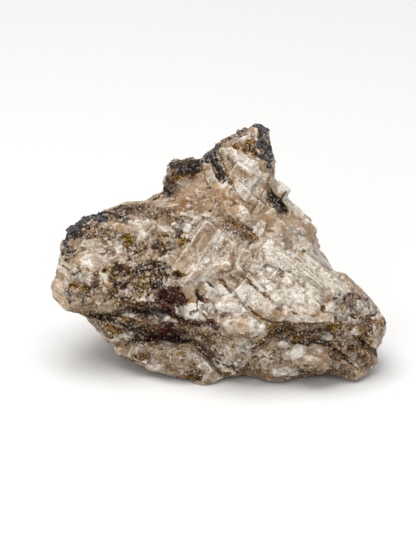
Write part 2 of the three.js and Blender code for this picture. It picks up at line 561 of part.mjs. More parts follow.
// ---- the specimen ----
function specimen() {
  let body = toManifold(stoneBody());
  const grown = [
    ...scatteredGrains(frontTriangles, FRONT_SPOTS, FACE_GRAINS, 1),
    ...scatteredGrains(backTriangles, BACK_SPOTS, BACK_GRAINS, -1),
    ...LUMPS.map(lump),
    ...CLEAVED.map(cleavedPiece),
  ];
  for (const piece of grown) body = body.add(toManifold(piece));
  for (const cut of CREVICES.flatMap(creviceParts)) body = body.subtract(toManifold(cut));

  // stand it up, then break it off flat underneath
  const upright = closeShortEdges(toGeometry(body), SHORTEST_EDGE);
  upright.rotateX(THREE.MathUtils.degToRad(90 - LEAN_BACK));
  upright.translate(0, 0, -BASE_DROP);
  const ground = new THREE.BoxGeometry(GROUND_REACH * 2, GROUND_REACH * 2, GROUND_REACH);
  ground.translate(0, 0, -GROUND_REACH / 2);
  const standing = toGeometry(toManifold(upright).subtract(toManifold(ground)));

  standing.computeBoundingBox();
  const middle = standing.boundingBox.getCenter(new THREE.Vector3());
  standing.translate(-middle.x, -middle.y, 0);
  standing.computeVertexNormals();
  return standing;
}

const quartz = new THREE.Mesh(
  specimen(),
  new THREE.MeshStandardMaterial({ color: '#c8b4a0', roughness: 0.55, metalness: 0 }),
);
quartz.name = 'quartz_hematite_rock';

const group = new THREE.Group();
group.name = 'quartz_with_hematite';
group.add(quartz);

export default group;
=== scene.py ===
"""Hand specimen of quartz with hematite: the finished stone, its grains and a plain studio."""

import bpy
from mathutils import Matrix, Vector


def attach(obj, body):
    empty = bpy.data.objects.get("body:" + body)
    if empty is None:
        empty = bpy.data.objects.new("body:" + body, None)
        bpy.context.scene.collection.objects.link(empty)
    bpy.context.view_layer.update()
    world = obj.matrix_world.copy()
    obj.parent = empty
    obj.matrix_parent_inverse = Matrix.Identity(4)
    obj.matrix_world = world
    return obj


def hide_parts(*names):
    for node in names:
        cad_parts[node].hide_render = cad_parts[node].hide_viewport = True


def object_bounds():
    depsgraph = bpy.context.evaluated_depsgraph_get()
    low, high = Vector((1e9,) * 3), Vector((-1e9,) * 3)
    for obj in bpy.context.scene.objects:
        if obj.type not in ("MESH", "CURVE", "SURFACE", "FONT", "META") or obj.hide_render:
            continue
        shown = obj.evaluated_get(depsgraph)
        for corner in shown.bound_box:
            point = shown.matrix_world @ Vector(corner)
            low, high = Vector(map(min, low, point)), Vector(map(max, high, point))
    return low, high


bl_info = {
    "name": "Quartz with Hematite",
    "version": (1, 0, 0),
    "blender": (4, 5, 0),
    "location": "3D View > Sidebar > Specimen",
    "description": "Builds a craggy quartz and hematite specimen with its grains and a studio",
    "category": "Object",
}

import math

import bmesh
import bpy
import numpy as np
from mathutils import Euler, Matrix, Vector, noise

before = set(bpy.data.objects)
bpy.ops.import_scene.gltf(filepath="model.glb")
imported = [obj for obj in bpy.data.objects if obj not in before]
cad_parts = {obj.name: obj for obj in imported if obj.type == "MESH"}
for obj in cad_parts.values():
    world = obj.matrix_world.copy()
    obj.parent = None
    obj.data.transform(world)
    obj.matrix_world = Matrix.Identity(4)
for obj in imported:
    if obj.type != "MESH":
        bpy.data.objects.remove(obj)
cad_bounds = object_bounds()

MM = 0.001
ROCK = "quartz_hematite_rock"

# The show face leans back by this much. Places on it are (across, up) in millimetres in its own
# plane, and FACE_ORIGIN is where that plane's zero lies from the specimen's own origin.
FACE_LEAN = math.radians(25)
FACE_ORIGIN = (0.08, -19.37, -2.1)

# Minerals and finishes on the show face, as
# (across, up, half length, half width, turn in degrees, strength).
PATCHES = {
    "hematite": [
        (14.6, 86.7, 1.5, 1.1, 0, 1), (13.9, 85, 1.3, 1.7, 0, 0.8), (15.5, 83.5, 1.5, 2.2, 0, 0.75),
        (13.9, 79.8, 1.9, 1.9, 0, 1), (16.4, 77.6, 1.3, 2.2, 10, 0.8), (16.8, 73.9, 1.1, 2.2, 0, 0.8),
        (14.4, 75.4, 2.2, 0.9, -25, 0.7), (17.7, 72.1, 0.6, 1.5, 0, 0.9),
        (11.1, 85.9, 0.9, 0.4, 15, 0.8), (6.3, 83.9, 1.5, 0.6, 35, 0.8), (0.3, 80.8, 0.7, 0.6, 50, 0.9),
        (-1.1, 78.7, 1.5, 1.3, 40, 0.85), (-3.7, 75.4, 2.6, 1.5, 25, 0.95),
        (-1.1, 73.5, 1.1, 1.5, 0, 0.9), (-0, 72.1, 0.7, 1.5, -60, 0.8), (-10.4, 73.2, 3.3, 2.6, 0, 0.4),
        (-14.9, 73.9, 2.2, 1.9, 0, 0.55), (-17.1, 70.6, 1.1, 3, 0, 0.45),
        (-15.6, 66.1, 2.2, 1.5, 25, 0.55), (-17.8, 64.3, 1.9, 1.1, 30, 0.5),
        (-3.1, 65.1, 0.7, 0.5, 0, 1), (-3, 58, 0.4, 0.4, 0, 0.7), (-5, 55.2, 0.4, 0.3, 0, 0.7),
        (12.9, 87.4, 1.5, 0.7, 30, 0.8), (12.4, 86.3, 1.5, 1.1, 0, 0.8), (8.9, 85.2, 2.2, 0.4, 28, 0.6),
        (14.4, 82.4, 1.1, 3.3, 0, 0.6), (17, 75.4, 1.1, 2.2, 0, 0.7), (-23, 23.4, 2.2, 1.1, -10, 0.3),
        (-28.2, 20.9, 1.1, 0.6, -20, 0.6), (-24.9, 13.4, 1.1, 0.9, -40, 0.5),
        (-3.4, 11.5, 2.6, 0.6, -50, 0.7), (5.1, 5.2, 2.2, 0.4, -35, 0.7),
        (39.2, 30.2, 1.1, 1.5, 0, 0.5), (38.1, 27.6, 1.1, 1.1, 0, 0.55), (39.2, 22.1, 0.4, 1.9, 0, 0.4),
        (55.3, 20.9, 0.6, 1.5, 0, 1), (43.7, 5, 1.5, 1.9, 0, 0.35), (38.5, 26.1, 0.4, 1.1, 0, 0.5),
        (-49.3, 51.3, 2.2, 2.2, 0, 1), (-51.1, 47.6, 1.1, 2.2, 0, 0.9), (-48.2, 53.2, 3, 1.5, 25, 0.95),
        (-44.1, 55, 2.2, 1.1, 25, 0.9), (-40.4, 56.5, 2.2, 1.3, 25, 0.9),
        (-38.6, 55.4, 3.3, 1.1, 10, 0.8), (-33, 55.8, 3, 0.6, -14, 0.9),
        (-47.1, 50.2, 1.9, 1.1, 0, 0.6), (-17.4, 39.1, 1.7, 1.1, 0, 0.5),
        (-49.7, 29.1, 0.7, 2.2, 10, 0.5), (-50, 45, 0.7, 1.5, 0, 0.6), (-24.1, 25.8, 3, 1.5, -20, 0.35),
        (-22.3, 23.9, 1.9, 2.2, 0, 0.3), (-28.2, 21.1, 0.9, 0.7, 0, 0.9),
        (-32.6, 59.1, 3.3, 0.7, 0, 0.4), (-30.8, 55, 1.1, 0.4, 0, 0.7),
        (-21.5, 24.6, 4.1, 1.5, -15, 0.75), (-23.7, 39.1, 2.2, 1.5, 20, 0.5),
        (-28.2, 58.4, 5.9, 0.9, 8, 0.45), (-35.6, 57.1, 4.4, 0.8, 15, 0.45),
    ],
    "speckled": [
        (-10.4, 73.5, 4.4, 3.3, 0, 0.45), (15.5, 80.6, 2.2, 5.6, 0, 0.7),
        (-1.9, 75.8, 3.3, 2.6, 25, 0.8), (-17.4, 63.9, 2.2, 2.2, 30, 0.6),
        (-13, 52.4, 6.7, 2.2, -10, 0.5), (4, 53.5, 4.4, 1.9, -20, 0.35),
        (-22.3, 23, 4.8, 2.2, -10, 0.8), (-31.9, 23.7, 4.4, 2.2, 0, 0.4), (-7.8, 3.7, 3.7, 1.9, 0, 0.6),
        (-1.1, 10.8, 4.8, 2.2, -45, 0.5), (-4.1, 25.9, 2.6, 2.2, 0, 0.4),
        (-38.2, 21.9, 3.3, 1.9, 0, 0.35), (-34.9, 18.9, 5.9, 2.2, -35, 0.6),
        (-26.3, 15.9, 7.4, 1.9, 0, 0.65), (-17.1, 13.4, 5.9, 2.2, 0, 0.4), (-2.3, 15.9, 4.4, 3, 0, 0.5),
        (7, 7.8, 4.4, 3.3, 0, 0.5), (9.6, 12.6, 3, 3, 0, 0.5), (-18.6, 6.7, 5.9, 1.5, -20, 0.35),
        (44.8, 25, 7, 5.6, -20, 0.5), (48.9, 18.4, 4.4, 3, 0, 0.45), (39.2, 18.4, 3.7, 3, 0, 0.5),
        (42.6, 10.9, 5.9, 3, -20, 0.5), (40.3, 5, 4.4, 1.9, 0, 0.4), (52.9, 17.6, 1.9, 3.7, 0, 0.4),
        (15.1, 8, 3.3, 2.2, 0, 0.4), (27.7, 16.1, 9.6, 1.9, 0, 0.65), (18.1, 10.2, 5.6, 3.3, 0, 0.35),
        (30, 3.5, 9.3, 1.9, 0, 0.45), (19.2, 17.2, 5.2, 1.9, 0, 0.5), (-23.7, 36.1, 8.1, 5.6, 0, 0.95),
        (-32.3, 34.6, 4.4, 3.3, 0, 0.95), (-44.1, 50.9, 6.7, 3.3, 10, 0.6),
        (-49.7, 43.9, 3, 2.2, 0, 0.7), (-35.6, 47.6, 5.2, 4.4, 0, 0.5),
        (-17.4, 46.9, 5.6, 4.4, 20, 0.65), (-28.2, 45.8, 4.4, 4.8, 50, 0.5),
        (-41.5, 30.9, 9.3, 4.1, 0, 0.5), (-23, 25, 5.2, 3, 0, 0.9), (-32.6, 28.4, 5.6, 3, 0, 0.6),
        (-43.4, 36.9, 5.9, 2.6, 0, 0.5), (-30.4, 19.8, 7.4, 3, -10, 0.5),
        (-33.4, 55.8, 3.7, 1.9, 0, 0.5), (-13, 53.2, 4.8, 3, 30, 0.5), (-30.4, 57.6, 5.6, 1.9, 0, 0.45),
    ],
    "limonite": [
        (10.7, 80.2, 0.9, 1.1, -20, 0.9), (10, 78.4, 2.2, 1.5, -15, 0.7),
        (11.8, 77.2, 1.1, 1.1, 0, 0.6), (5.9, 79.1, 1.1, 0.7, 0, 0.6), (-15.6, 71.7, 0.7, 1.1, 0, 0.9),
        (-14.1, 68.4, 1.9, 1.5, 0, 0.9), (-16, 69.1, 1.1, 1.5, 0, 0.6),
        (-17.8, 63.9, 1.3, 0.7, 25, 0.8), (1.4, 67.2, 1.3, 0.4, 0, 0.8), (3.7, 66.9, 0.4, 0.6, 0, 0.7),
        (2.7, 75.2, 0.9, 1.1, -40, 0.4), (11.4, 49.8, 0.7, 0.4, 0, 0.95),
        (-18.2, 49.6, 1.1, 0.4, 0, 0.9), (0.3, 55.9, 0.6, 1.1, -70, 0.6),
        (11.3, 49.6, 0.6, 0.7, -30, 0.9), (20.5, 38, 1.3, 0.4, 0, 0.9), (20.1, 36.5, 1.5, 1.1, 0, 0.45),
        (34.2, 25.8, 1.1, 0.9, 0, 1), (27.9, 44.1, 0.6, 0.4, 0, 0.7), (2, 33.9, 1.9, 0.6, -50, 0.7),
        (37.9, 19.5, 1.5, 1.1, 0, 0.9), (39.8, 20.6, 0.7, 0.4, 0, 0.8),
        (25.3, 15.8, 2.2, 0.7, -10, 0.7), (30.9, 14.6, 1.9, 0.7, 0, 0.6),
        (13.5, 14.3, 1.3, 0.6, 40, 0.8), (17.6, 19.1, 1.5, 1.1, 0, 0.5), (22.7, 16.9, 1.1, 0.6, 0, 0.7),
        (9.8, 34.5, 2.2, 0.4, -38, 0.6), (15.7, 29.5, 1.9, 0.4, -42, 0.6),
        (-36, 18.7, 3.3, 0.9, -35, 0.95),
        (-33.2, 27.4, 0.9, 0.9, -40, 0.9), (-29.3, 27.4, 1.5, 0.7, 0, 0.8),
        (-30, 21.3, 2.2, 0.9, -20, 0.75), (-24.9, 16.1, 2.2, 0.6, 0, 0.7),
        (-26.1, 8.9, 2.8, 0.9, -5, 0.9), (-29.3, 8, 1.1, 0.4, -20, 0.7), (-8, 7.1, 0.9, 0.9, 0, 0.7),
        (2.6, 3.5, 1.1, 0.9, 0, 0.9), (-1.5, 21.1, 0.9, 1.1, 0, 0.7), (4.4, 13.2, 0.9, 0.4, 0, 0.8),
        (11.4, 9.5, 0.9, 0.6, 0, 0.9), (-26.3, 18.5, 1.1, 0.6, 0, 0.6), (-12.3, 10.4, 1.5, 0.4, 0, 0.5),
        (0.7, 9.6, 0.9, 0.7, 0, 0.5), (-6.7, 12.6, 1.5, 0.7, -35, 0.6), (-20, 7.1, 0.7, 0.4, 0, 0.6),
        (-8.9, 2.2, 2.2, 0.9, 0, 0.45), (34.2, 25.6, 1.1, 0.9, 0, 1), (38.3, 19.5, 1.5, 1.3, 0, 0.95),
        (39.6, 19.5, 0.7, 0.7, 0, 0.8), (43.5, 18.5, 0.7, 0.6, 0, 1), (46.3, 18.4, 1.1, 0.7, 0, 0.8),
        (50.5, 13.9, 0.8, 0.4, 20, 0.9), (48.1, 16.5, 1.9, 1.1, 0, 0.55),
        (24.8, 15.2, 1.5, 0.4, -5, 0.85), (29.2, 14.6, 3.7, 0.8, 0, 0.6), (31.4, 15, 1.1, 0.7, 0, 0.7),
        (13.7, 14.1, 1.5, 0.6, 35, 0.8), (11.6, 9.6, 0.7, 0.6, 0, 0.9), (13.5, 6.5, 0.4, 0.9, 0, 0.8),
        (28.5, 6.1, 0.7, 0.6, 0, 0.8), (38.1, 13.5, 1.5, 0.7, 0, 0.7), (38.9, 13, 0.9, 0.6, 0, 0.8),
        (42.2, 13.2, 2.2, 0.7, 0, 0.6), (16.8, 18.9, 1.1, 1.3, 0, 0.7), (22.9, 16.9, 1.5, 0.4, 0, 0.6),
        (42.9, 8.5, 1.1, 0.7, 0, 0.6), (47, 15, 1.5, 0.7, 0, 0.6), (50, 6.7, 1.9, 0.6, 0, 0.5),
        (-30.2, 48.4, 1.5, 1.9, 0, 0.95), (-30.4, 46.5, 1.1, 1.1, 0, 0.7),
        (-33.7, 39.5, 1.5, 1.3, 0, 0.7), (-37.4, 38, 0.6, 1.2, 0, 0.95),
        (-40.8, 36.5, 0.6, 0.6, 0, 0.9), (-48.6, 32.8, 1.2, 0.8, 0, 0.95),
        (-45.4, 32.2, 1.6, 0.8, 0, 1), (-33.9, 30.8, 0.8, 0.9, 0, 0.9),
        (-33.1, 27.6, 0.9, 1.3, 0, 0.95), (-37.8, 28.4, 0.7, 0.7, 0, 0.8),
        (-23.6, 33.9, 1.3, 2.2, -20, 0.95), (-24.9, 35.4, 1.5, 0.9, -25, 0.8),
        (-26, 30.2, 0.5, 1.3, 0, 0.8), (-28.9, 28.7, 0.6, 1, 0, 0.8), (-18.2, 49.3, 1.2, 0.4, 0, 0.9),
        (-21.7, 49.8, 0.7, 0.4, 0, 0.8), (-12.1, 47.4, 1.5, 1, 0, 0.85),
        (-12.3, 36.7, 1.1, 0.5, 0, 0.9), (-13.9, 37.2, 0.9, 0.5, 0, 0.7), (-44.9, 27.8, 1, 0.7, 0, 0.7),
        (-28.7, 27.1, 1.1, 0.5, 0, 0.8), (-38.7, 43.2, 1, 0.7, 0, 0.6), (-47.6, 36.5, 0.5, 0.5, 0, 0.6),
        (-46.7, 39.3, 0.7, 0.7, 0, 0.6), (-39.3, 52.2, 0.7, 0.5, 0, 0.7),
        (-35.2, 55.8, 1.7, 0.6, 0, 0.6), (-41.5, 52.8, 0.7, 0.3, 0, 0.5),
        (-36.3, 18.7, 3.3, 0.7, -30, 0.95), (-36.3, 15.9, 0.7, 0.6, 0, 0.9),
        (-30.4, 21.3, 2.2, 0.7, -15, 0.7), (-26, 18.7, 1.5, 0.6, 0, 0.6),
        (-50.8, 41.3, 0.7, 0.6, 0, 0.4), (-23.7, 15.9, 2.6, 0.5, 0, 0.5),
    ],
    "rust": [
        (-10.4, 59.5, 3.3, 2.2, 20, 0.6), (4, 60.2, 2.2, 2.6, 0, 0.45), (2.6, 54.3, 2.6, 1.5, 0, 0.5),
        (5.9, 52.8, 2.2, 1.1, -30, 0.6), (8.5, 52.1, 2.2, 0.7, -35, 0.55),
        (9.6, 69.1, 1.5, 0.7, 0, 0.35), (10.7, 60.6, 1.1, 1.5, 30, 0.4), (-16, 61.7, 3.7, 1.1, 20, 0.4),
        (-9.7, 60.6, 4.1, 2.2, 15, 0.55), (1.1, 61.3, 2.2, 1.9, 0, 0.4),
        (20.1, 25.8, 1.9, 1.1, -30, 0.6), (4.6, 42.8, 1.1, 2.2, 30, 0.4), (0.9, 37.6, 2.2, 1.1, 0, 0.3),
        (35.7, 29.5, 1.1, 0.7, 0, 0.5), (31.3, 23.5, 1.5, 0.4, 0, 0.6), (28.7, 23.5, 0.7, 0.4, 0, 0.5),
        (0.9, 33.9, 2.2, 0.9, -50, 0.4), (-24.5, 16.3, 4.1, 1.1, 0, 0.8),
        (-19.3, 18.5, 1.9, 1.1, 0, 0.8), (-37.4, 16.3, 1.5, 0.7, -30, 0.5),
        (-6, 13.4, 1.5, 0.7, -40, 0.5), (23.7, 24.3, 1.1, 0.3, -10, 0.6),
        (30.7, 23.4, 1.3, 0.4, 10, 0.7), (38.1, 10.9, 0.9, 0.7, 0, 0.8), (47, 18.4, 3.3, 1.9, 0, 0.5),
        (48.1, 16.1, 3.3, 1.5, -30, 0.5), (49.6, 10.2, 1.1, 0.7, 0, 0.6),
        (42.6, 9.5, 2.2, 1.1, -30, 0.5), (35.9, 28.4, 1.9, 1.1, 0, 0.5), (19.2, 25.8, 1.5, 0.7, 0, 0.5),
        (16.3, 2.8, 2.2, 0.7, 0, 0.5),
        (-34.1, 39.1, 2.2, 1.7, 0, 0.8), (-18, 45.4, 1.7, 2, 0, 0.85), (-21.5, 43.2, 1.5, 1.9, 0, 0.6),
        (-43.7, 51.5, 1.4, 0.7, 0, 0.8), (-24.5, 34.3, 2.2, 2.2, 0, 0.6), (-13, 36.1, 2.2, 0.9, 0, 0.7),
        (-36.3, 33.9, 1.9, 2.2, 0, 0.35), (-26.7, 58.4, 5.6, 1.1, 15, 0.5),
        (-12.3, 46.9, 2.2, 1.1, 0, 0.6), (-23, 40.6, 2.2, 0.9, 0, 0.5), (-14.1, 51.7, 0.7, 0.5, 0, 0.5),
        (-23.7, 15.4, 4.1, 1.1, 0, 0.7), (-30.4, 20.9, 3.3, 0.9, 0, 0.6),
        (-18.6, 19.1, 2.2, 1.1, 0, 0.5), (-32.6, 37.6, 2.2, 1.1, 0, 0.5),
        (-51.5, 44.3, 1.5, 1.1, 0, 0.4),
    ],
    "peach": [
        (10, 84.6, 3.7, 1.7, 25, 0.5), (4.4, 81.7, 3.7, 2.2, 25, 0.4), (13.7, 73.5, 2.6, 1.9, 0, 0.4),
        (-8.6, 60.9, 8.1, 4.1, 15, 0.55), (4, 60.2, 3.7, 3.3, 0, 0.6), (-3.7, 69.1, 2.6, 2.6, 0, 0.35),
        (8.5, 64.3, 4.4, 3.3, 30, 0.3), (15.5, 56.5, 4.4, 2.2, 30, 0.45),
        (22.9, 52.8, 5.6, 2.6, 0, 0.3), (6.3, 67.6, 2.2, 2.2, 0, 0.4), (-6.7, 61.7, 11.1, 4.1, 15, 0.6),
        (1.3, 44.6, 3.3, 3, 0, 0.55), (17.9, 44.6, 3.3, 1.9, -20, 0.5),
        (21.6, 24.6, 2.6, 2.2, -20, 0.6), (7.6, 19.8, 4.1, 2.2, 0, 0.5), (3.1, 38.4, 2.6, 1.9, 0, 0.35),
        (-4.3, 49.5, 5.6, 3, 0, 0.25), (-7.3, 22.4, 1.5, 2.2, 0, 0.6), (25.3, 50.2, 5.6, 3, 0, 0.35),
        (41.3, 32.4, 1.9, 1.5, 0, 0.5), (0.5, 43.5, 6.3, 4.1, 45, 0.5), (-39.7, 25.9, 5.2, 1.5, 0, 0.6),
        (-32.6, 11.5, 1.9, 1.9, -35, 0.8), (-7.4, 21.9, 3.7, 1.5, -30, 0.6),
        (4.8, 20.8, 4.1, 2.2, 0, 0.5), (-11.1, 18.5, 2.2, 1.1, 10, 0.6), (-2.6, 7.1, 2.6, 1.1, 0, 0.4),
        (21.4, 24.6, 3.3, 1.9, -15, 0.45), (33.7, 8.7, 4.1, 3, 0, 0.4), (53.3, 20.6, 2.2, 3.3, 0, 0.6),
        (51.4, 17.6, 1.9, 1.5, 0, 0.7), (45.9, 10.9, 4.1, 1.9, -10, 0.5), (50.7, 8.7, 2.2, 1.5, 0, 0.6),
        (47.4, 3.9, 2.6, 1.5, 20, 0.8), (43.3, 32.1, 3.3, 1.5, -30, 0.6),
        (52.9, 26.5, 3.3, 1.5, -50, 0.5), (24.8, 5.8, 2.2, 1.1, 0, 0.5), (32.9, 23.5, 3.3, 1.1, 0, 0.4),
        (15.9, 2.1, 2.2, 0.7, 0, 0.6), (-36.3, 33.9, 2.6, 3.7, 0, 0.85), (-32.6, 53.2, 3, 1.9, 10, 0.8),
        (-27.4, 39.5, 2.2, 1.7, 40, 0.6), (-35.6, 57.6, 3, 0.7, -8, 0.8),
        (-30.4, 58.7, 4.4, 1.1, 0, 0.5), (-53.4, 30.2, 2.2, 5.9, 0, 0.6),
        (-41.1, 28.7, 2.2, 1.9, 0, 0.7), (-24.9, 28, 3.7, 1.1, -20, 0.6),
        (-54.1, 37.6, 1.5, 2.2, 0, 0.6), (-35.6, 46.5, 2.2, 2.2, 0, 0.5),
        (-9.7, 28.4, 2.2, 2.2, 0, 0.6), (-20.8, 49.5, 1.9, 1.1, 0, 0.3),
        (-7.1, 36.1, 4.4, 2.2, 0, 0.4), (-23, 59.1, 9.3, 1.9, 0, 0.5),
    ],
    "maroon": [
        (-5.4, 28.7, 1.9, 0.9, -15, 0.7), (-1.7, 19.8, 2.2, 1.5, -50, 0.6),
        (-17.1, 27.1, 4.1, 2.2, 0, 1), (-12.6, 27.8, 2.2, 1.5, 0, 0.9), (-17.4, 17.8, 2.6, 1.1, 0, 0.7),
        (-12.3, 20.8, 3.3, 0.7, 0, 0.6), (-16.3, 24.1, 1.1, 1.5, -60, 0.6),
        (-14.9, 15.9, 2.2, 0.7, 0, 0.6), (-1.9, 21.1, 1.1, 1.5, 0, 0.6),
        (-19.3, 15.8, 5.6, 1.1, 0, 0.7), (-25.2, 17.4, 3.3, 0.8, 0, 0.6),
        (-8.2, 24.5, 1.9, 0.9, 30, 0.5), (44.4, 22.8, 0.9, 0.6, 0, 0.9), (43.3, 30.2, 1.5, 0.7, 0, 0.5),
        (50.7, 23.2, 1.9, 0.6, 20, 0.8), (50.7, 20.9, 1.1, 1.1, 0, 0.7), (50, 20.2, 1.1, 0.7, 0, 0.6),
        (47.7, 28.4, 2.2, 0.7, 0, 0.5), (43.3, 19.5, 1.9, 0.6, 0, 0.4), (45.1, 19.5, 1.9, 0.4, 0, 0.5),
        (24.8, 24.3, 0.9, 0.4, 0, 0.6), (47, 25.4, 1.5, 0.4, 0, 0.4), (41.1, 23.9, 0.7, 0.6, 0, 0.4),
        (-16.3, 29.1, 4.1, 3.1, 0, 1), (-19.3, 27.6, 2.2, 1.9, -30, 0.9),
        (-15.2, 31.7, 1.9, 1.5, 0, 0.9), (-12.6, 28.7, 1.5, 2.6, 0, 0.9), (-16, 25.4, 1.9, 1.9, 0, 0.9),
        (-23.4, 29.5, 0.7, 0.9, 0, 0.8), (-17.8, 19.8, 3, 1.5, 0, 0.75),
        (-31.9, 37.6, 1.9, 1.5, 0, 0.4), (-10.4, 20.6, 3, 0.7, 0, 0.6), (-27.4, 35.8, 1.5, 0.9, 0, 0.4),
        (-10, 47.6, 0.7, 0.7, 0, 0.5),
    ],
    "white": [
        (9.6, 73.2, 4.1, 1.9, -35, 1), (5.5, 75.4, 2.2, 1.5, -30, 0.8), (4, 77.6, 1.9, 1.1, 0, 0.7),
        (14.4, 69.5, 1.9, 1.3, -40, 0.9), (12.9, 67.2, 1.5, 0.9, 0, 0.5),
        (8.1, 82.8, 2.2, 1.1, 15, 0.4), (2.2, 66.5, 1.5, 0.9, 0, 0.7), (21.1, 65.8, 3, 1.9, -35, 0.6),
        (18.9, 67.6, 1.9, 1.5, -40, 0.3), (13.7, 52.1, 1.1, 2.2, 10, 0.6),
        (17, 60.2, 1.9, 0.9, 20, 0.45), (-10.8, 66.9, 3.3, 0.6, 15, 0.4),
        (-4.1, 56.1, 3, 0.7, -10, 0.6), (-9.7, 56.1, 3.3, 0.5, -5, 0.6),
        (-17.4, 52.1, 2.6, 1.1, -15, 0.7), (-10.4, 52.1, 1.5, 2.2, 40, 0.5),
        (4, 55.4, 1.5, 0.6, 0, 0.4), (7.7, 57.2, 2.2, 1.5, 0, 0.5), (25.9, 59.1, 4.1, 0.9, -47, 0.4),
        (9.6, 64.6, 4.8, 4.1, -35, 0.4), (19.8, 40.2, 4.8, 1.7, -25, 0.9),
        (33.9, 35.8, 8.5, 3.3, -30, 1), (29, 39.8, 5.6, 2.2, -25, 0.6), (27.6, 27.6, 4.8, 1.9, -8, 0.9),
        (29, 25.8, 3.7, 1.5, 0, 0.8), (12.7, 29.5, 6.3, 3.3, -45, 0.75), (2.4, 30.9, 3, 2.2, -45, 1),
        (-4.7, 25.8, 2.2, 1.9, 0, 0.9), (4.2, 25.8, 5.6, 1.7, 0, 0.75), (13.9, 19.1, 2.2, 2.2, 0, 0.8),
        (2.7, 21.3, 0.7, 2.2, -20, 0.8), (11.3, 20.9, 1.1, 1.9, 30, 0.7),
        (-0.6, 46.9, 2.2, 1.5, 60, 0.3), (-4.3, 40.2, 6.7, 0.9, 17, 0.4),
        (8.3, 42.1, 3.7, 3.3, 0, 0.25), (13.9, 39.1, 2.2, 3, 0, 0.6), (15.3, 33.9, 2.2, 2.2, 0, 0.5),
        (27.9, 46.1, 2.2, 1.3, 0, 0.6), (16.4, 46.9, 2.2, 1.5, 0, 0.4), (35.7, 25.8, 2.2, 1.5, 0, 0.6),
        (32.7, 28.7, 2.2, 1.9, 0, 0.6), (0.5, 44.6, 2.2, 0.4, 30, 0.6), (12.7, 50.9, 1.5, 2.2, 0, 0.6),
        (28, 39.1, 14.1, 2.8, -28, 1), (27.2, 35.4, 14.1, 7.4, -28, 0.5),
        (15, 39.1, 7.4, 5.6, -40, 0.25), (3.1, 29.5, 9.3, 4.4, -40, 0.4),
        (17.9, 30.2, 9.3, 4.4, -30, 0.4), (29, 43.9, 9.3, 4.4, -40, 0.3), (-30.8, 17.2, 2.2, 1.7, 0, 1),
        (-34.7, 15.2, 1.5, 0.9, 0, 0.6), (-17.8, 21.5, 2.6, 2.2, -20, 0.4),
        (-11.1, 25.2, 4.1, 1.9, 0, 0.9),
        (-6.7, 22.2, 3.3, 1.5, -30, 0.9), (-4.5, 25.9, 2.2, 1.9, 0, 0.8), (-0, 25.9, 2.2, 1.5, 0, 0.7),
        (-30, 24.1, 3.3, 1.1, -25, 0.6), (-17.1, 13.4, 3, 1.5, -15, 0.4),
        (-9.7, 10, 2.2, 1.1, -20, 0.6), (3.3, 5.2, 2.6, 0.9, -25, 0.9),
        (-12.6, 4.5, 1.5, 0.6, -25, 0.5), (-3.7, 5.9, 3, 1.5, 0, 0.4), (8.1, 13.4, 2.2, 2.2, 0, 0.4),
        (-33.4, 20.8, 1.9, 1.5, 0, 0.5), (-6, 15.6, 2.6, 0.9, -45, 0.5), (3.7, 9.6, 7.4, 4.4, 0, 0.35),
        (-22.3, 7.4, 4.4, 1.9, -25, 0.35), (26.6, 29.1, 5.2, 2.2, -15, 0.9),
        (29.2, 26.9, 3.7, 2.2, 0, 0.8), (9.2, 29.5, 4.4, 3.7, -45, 0.7), (32.9, 28.7, 2.2, 2.2, 0, 0.6),
        (36.6, 25.6, 1.9, 1.3, 0, 0.8), (25.5, 11.3, 4.1, 2.2, 20, 0.8),
        (22.6, 4.3, 4.1, 1.5, -10, 0.85), (35.1, 15.4, 2.6, 1.1, 15, 0.7),
        (44.8, 17.2, 1.5, 1.1, 0, 0.5), (21.4, 14.3, 2.2, 1.5, 20, 0.5), (15.1, 7.2, 2.2, 1.9, 0, 0.5),
        (14.4, 10.2, 2.6, 0.9, 0, 0.4), (11.8, 19.1, 2.2, 2.2, 0, 0.6), (44.8, 6.5, 1.9, 0.7, -30, 0.5),
        (41.4, 30.9, 2.2, 1.1, 0, 0.5), (35.9, 32.6, 3, 1.1, 0, 0.6), (47.7, 25.8, 3.3, 1.9, -20, 0.45),
        (44, 22.1, 1.9, 1.5, 0, 0.45), (52.6, 23.9, 2.2, 2.2, 0, 0.4), (29.2, 9.1, 2.2, 1.1, -20, 0.5),
        (32.9, 10.9, 1.9, 0.7, -10, 0.5), (45.9, 26.5, 2.2, 1.5, 0, 0.4),
        (42.6, 23.2, 1.5, 1.1, 0, 0.45), (48.9, 23.5, 1.5, 1.5, 0, 0.4), (33.7, 16.1, 2.2, 0.7, 0, 0.5),
        (40.3, 15.4, 1.5, 0.7, 0, 0.45), (44.4, 9.5, 1.9, 1.1, -30, 0.45),
        (-41.5, 46.1, 4.1, 2.2, -5, 0.35), (-52.3, 39.1, 2.2, 1.9, -30, 0.6),
        (-37.4, 41.7, 2.2, 1.5, 0, 0.4), (-43, 41.3, 2.2, 2.2, 0, 0.3), (-44.5, 36.1, 2.6, 1.9, 0, 0.5),
        (-37.8, 35.8, 1.9, 1.9, 0, 0.6), (-30.8, 54.6, 3.7, 0.4, -8, 0.6),
        (-24.9, 53.5, 2.2, 1.1, 40, 0.35), (-17.8, 52.4, 2.2, 1.1, -15, 0.7),
        (-13.7, 53.2, 2.2, 0.7, -30, 0.6), (-25.2, 50.2, 1.5, 2.2, -40, 0.35),
        (-33.4, 45.8, 1.5, 2.2, 0, 0.5), (-17.1, 42.4, 0.7, 1.9, 0, 0.8),
        (-15.2, 43.9, 1.5, 0.7, 0, 0.7), (-16, 37.6, 1.1, 1.1, 0, 0.8), (-17.1, 34.3, 1.5, 1.1, 0, 0.7),
        (-24.1, 29.1, 3, 0.7, -15, 0.7), (-10.8, 25, 4.1, 2.2, -10, 1), (-5.6, 25.8, 3, 2.2, 0, 0.9),
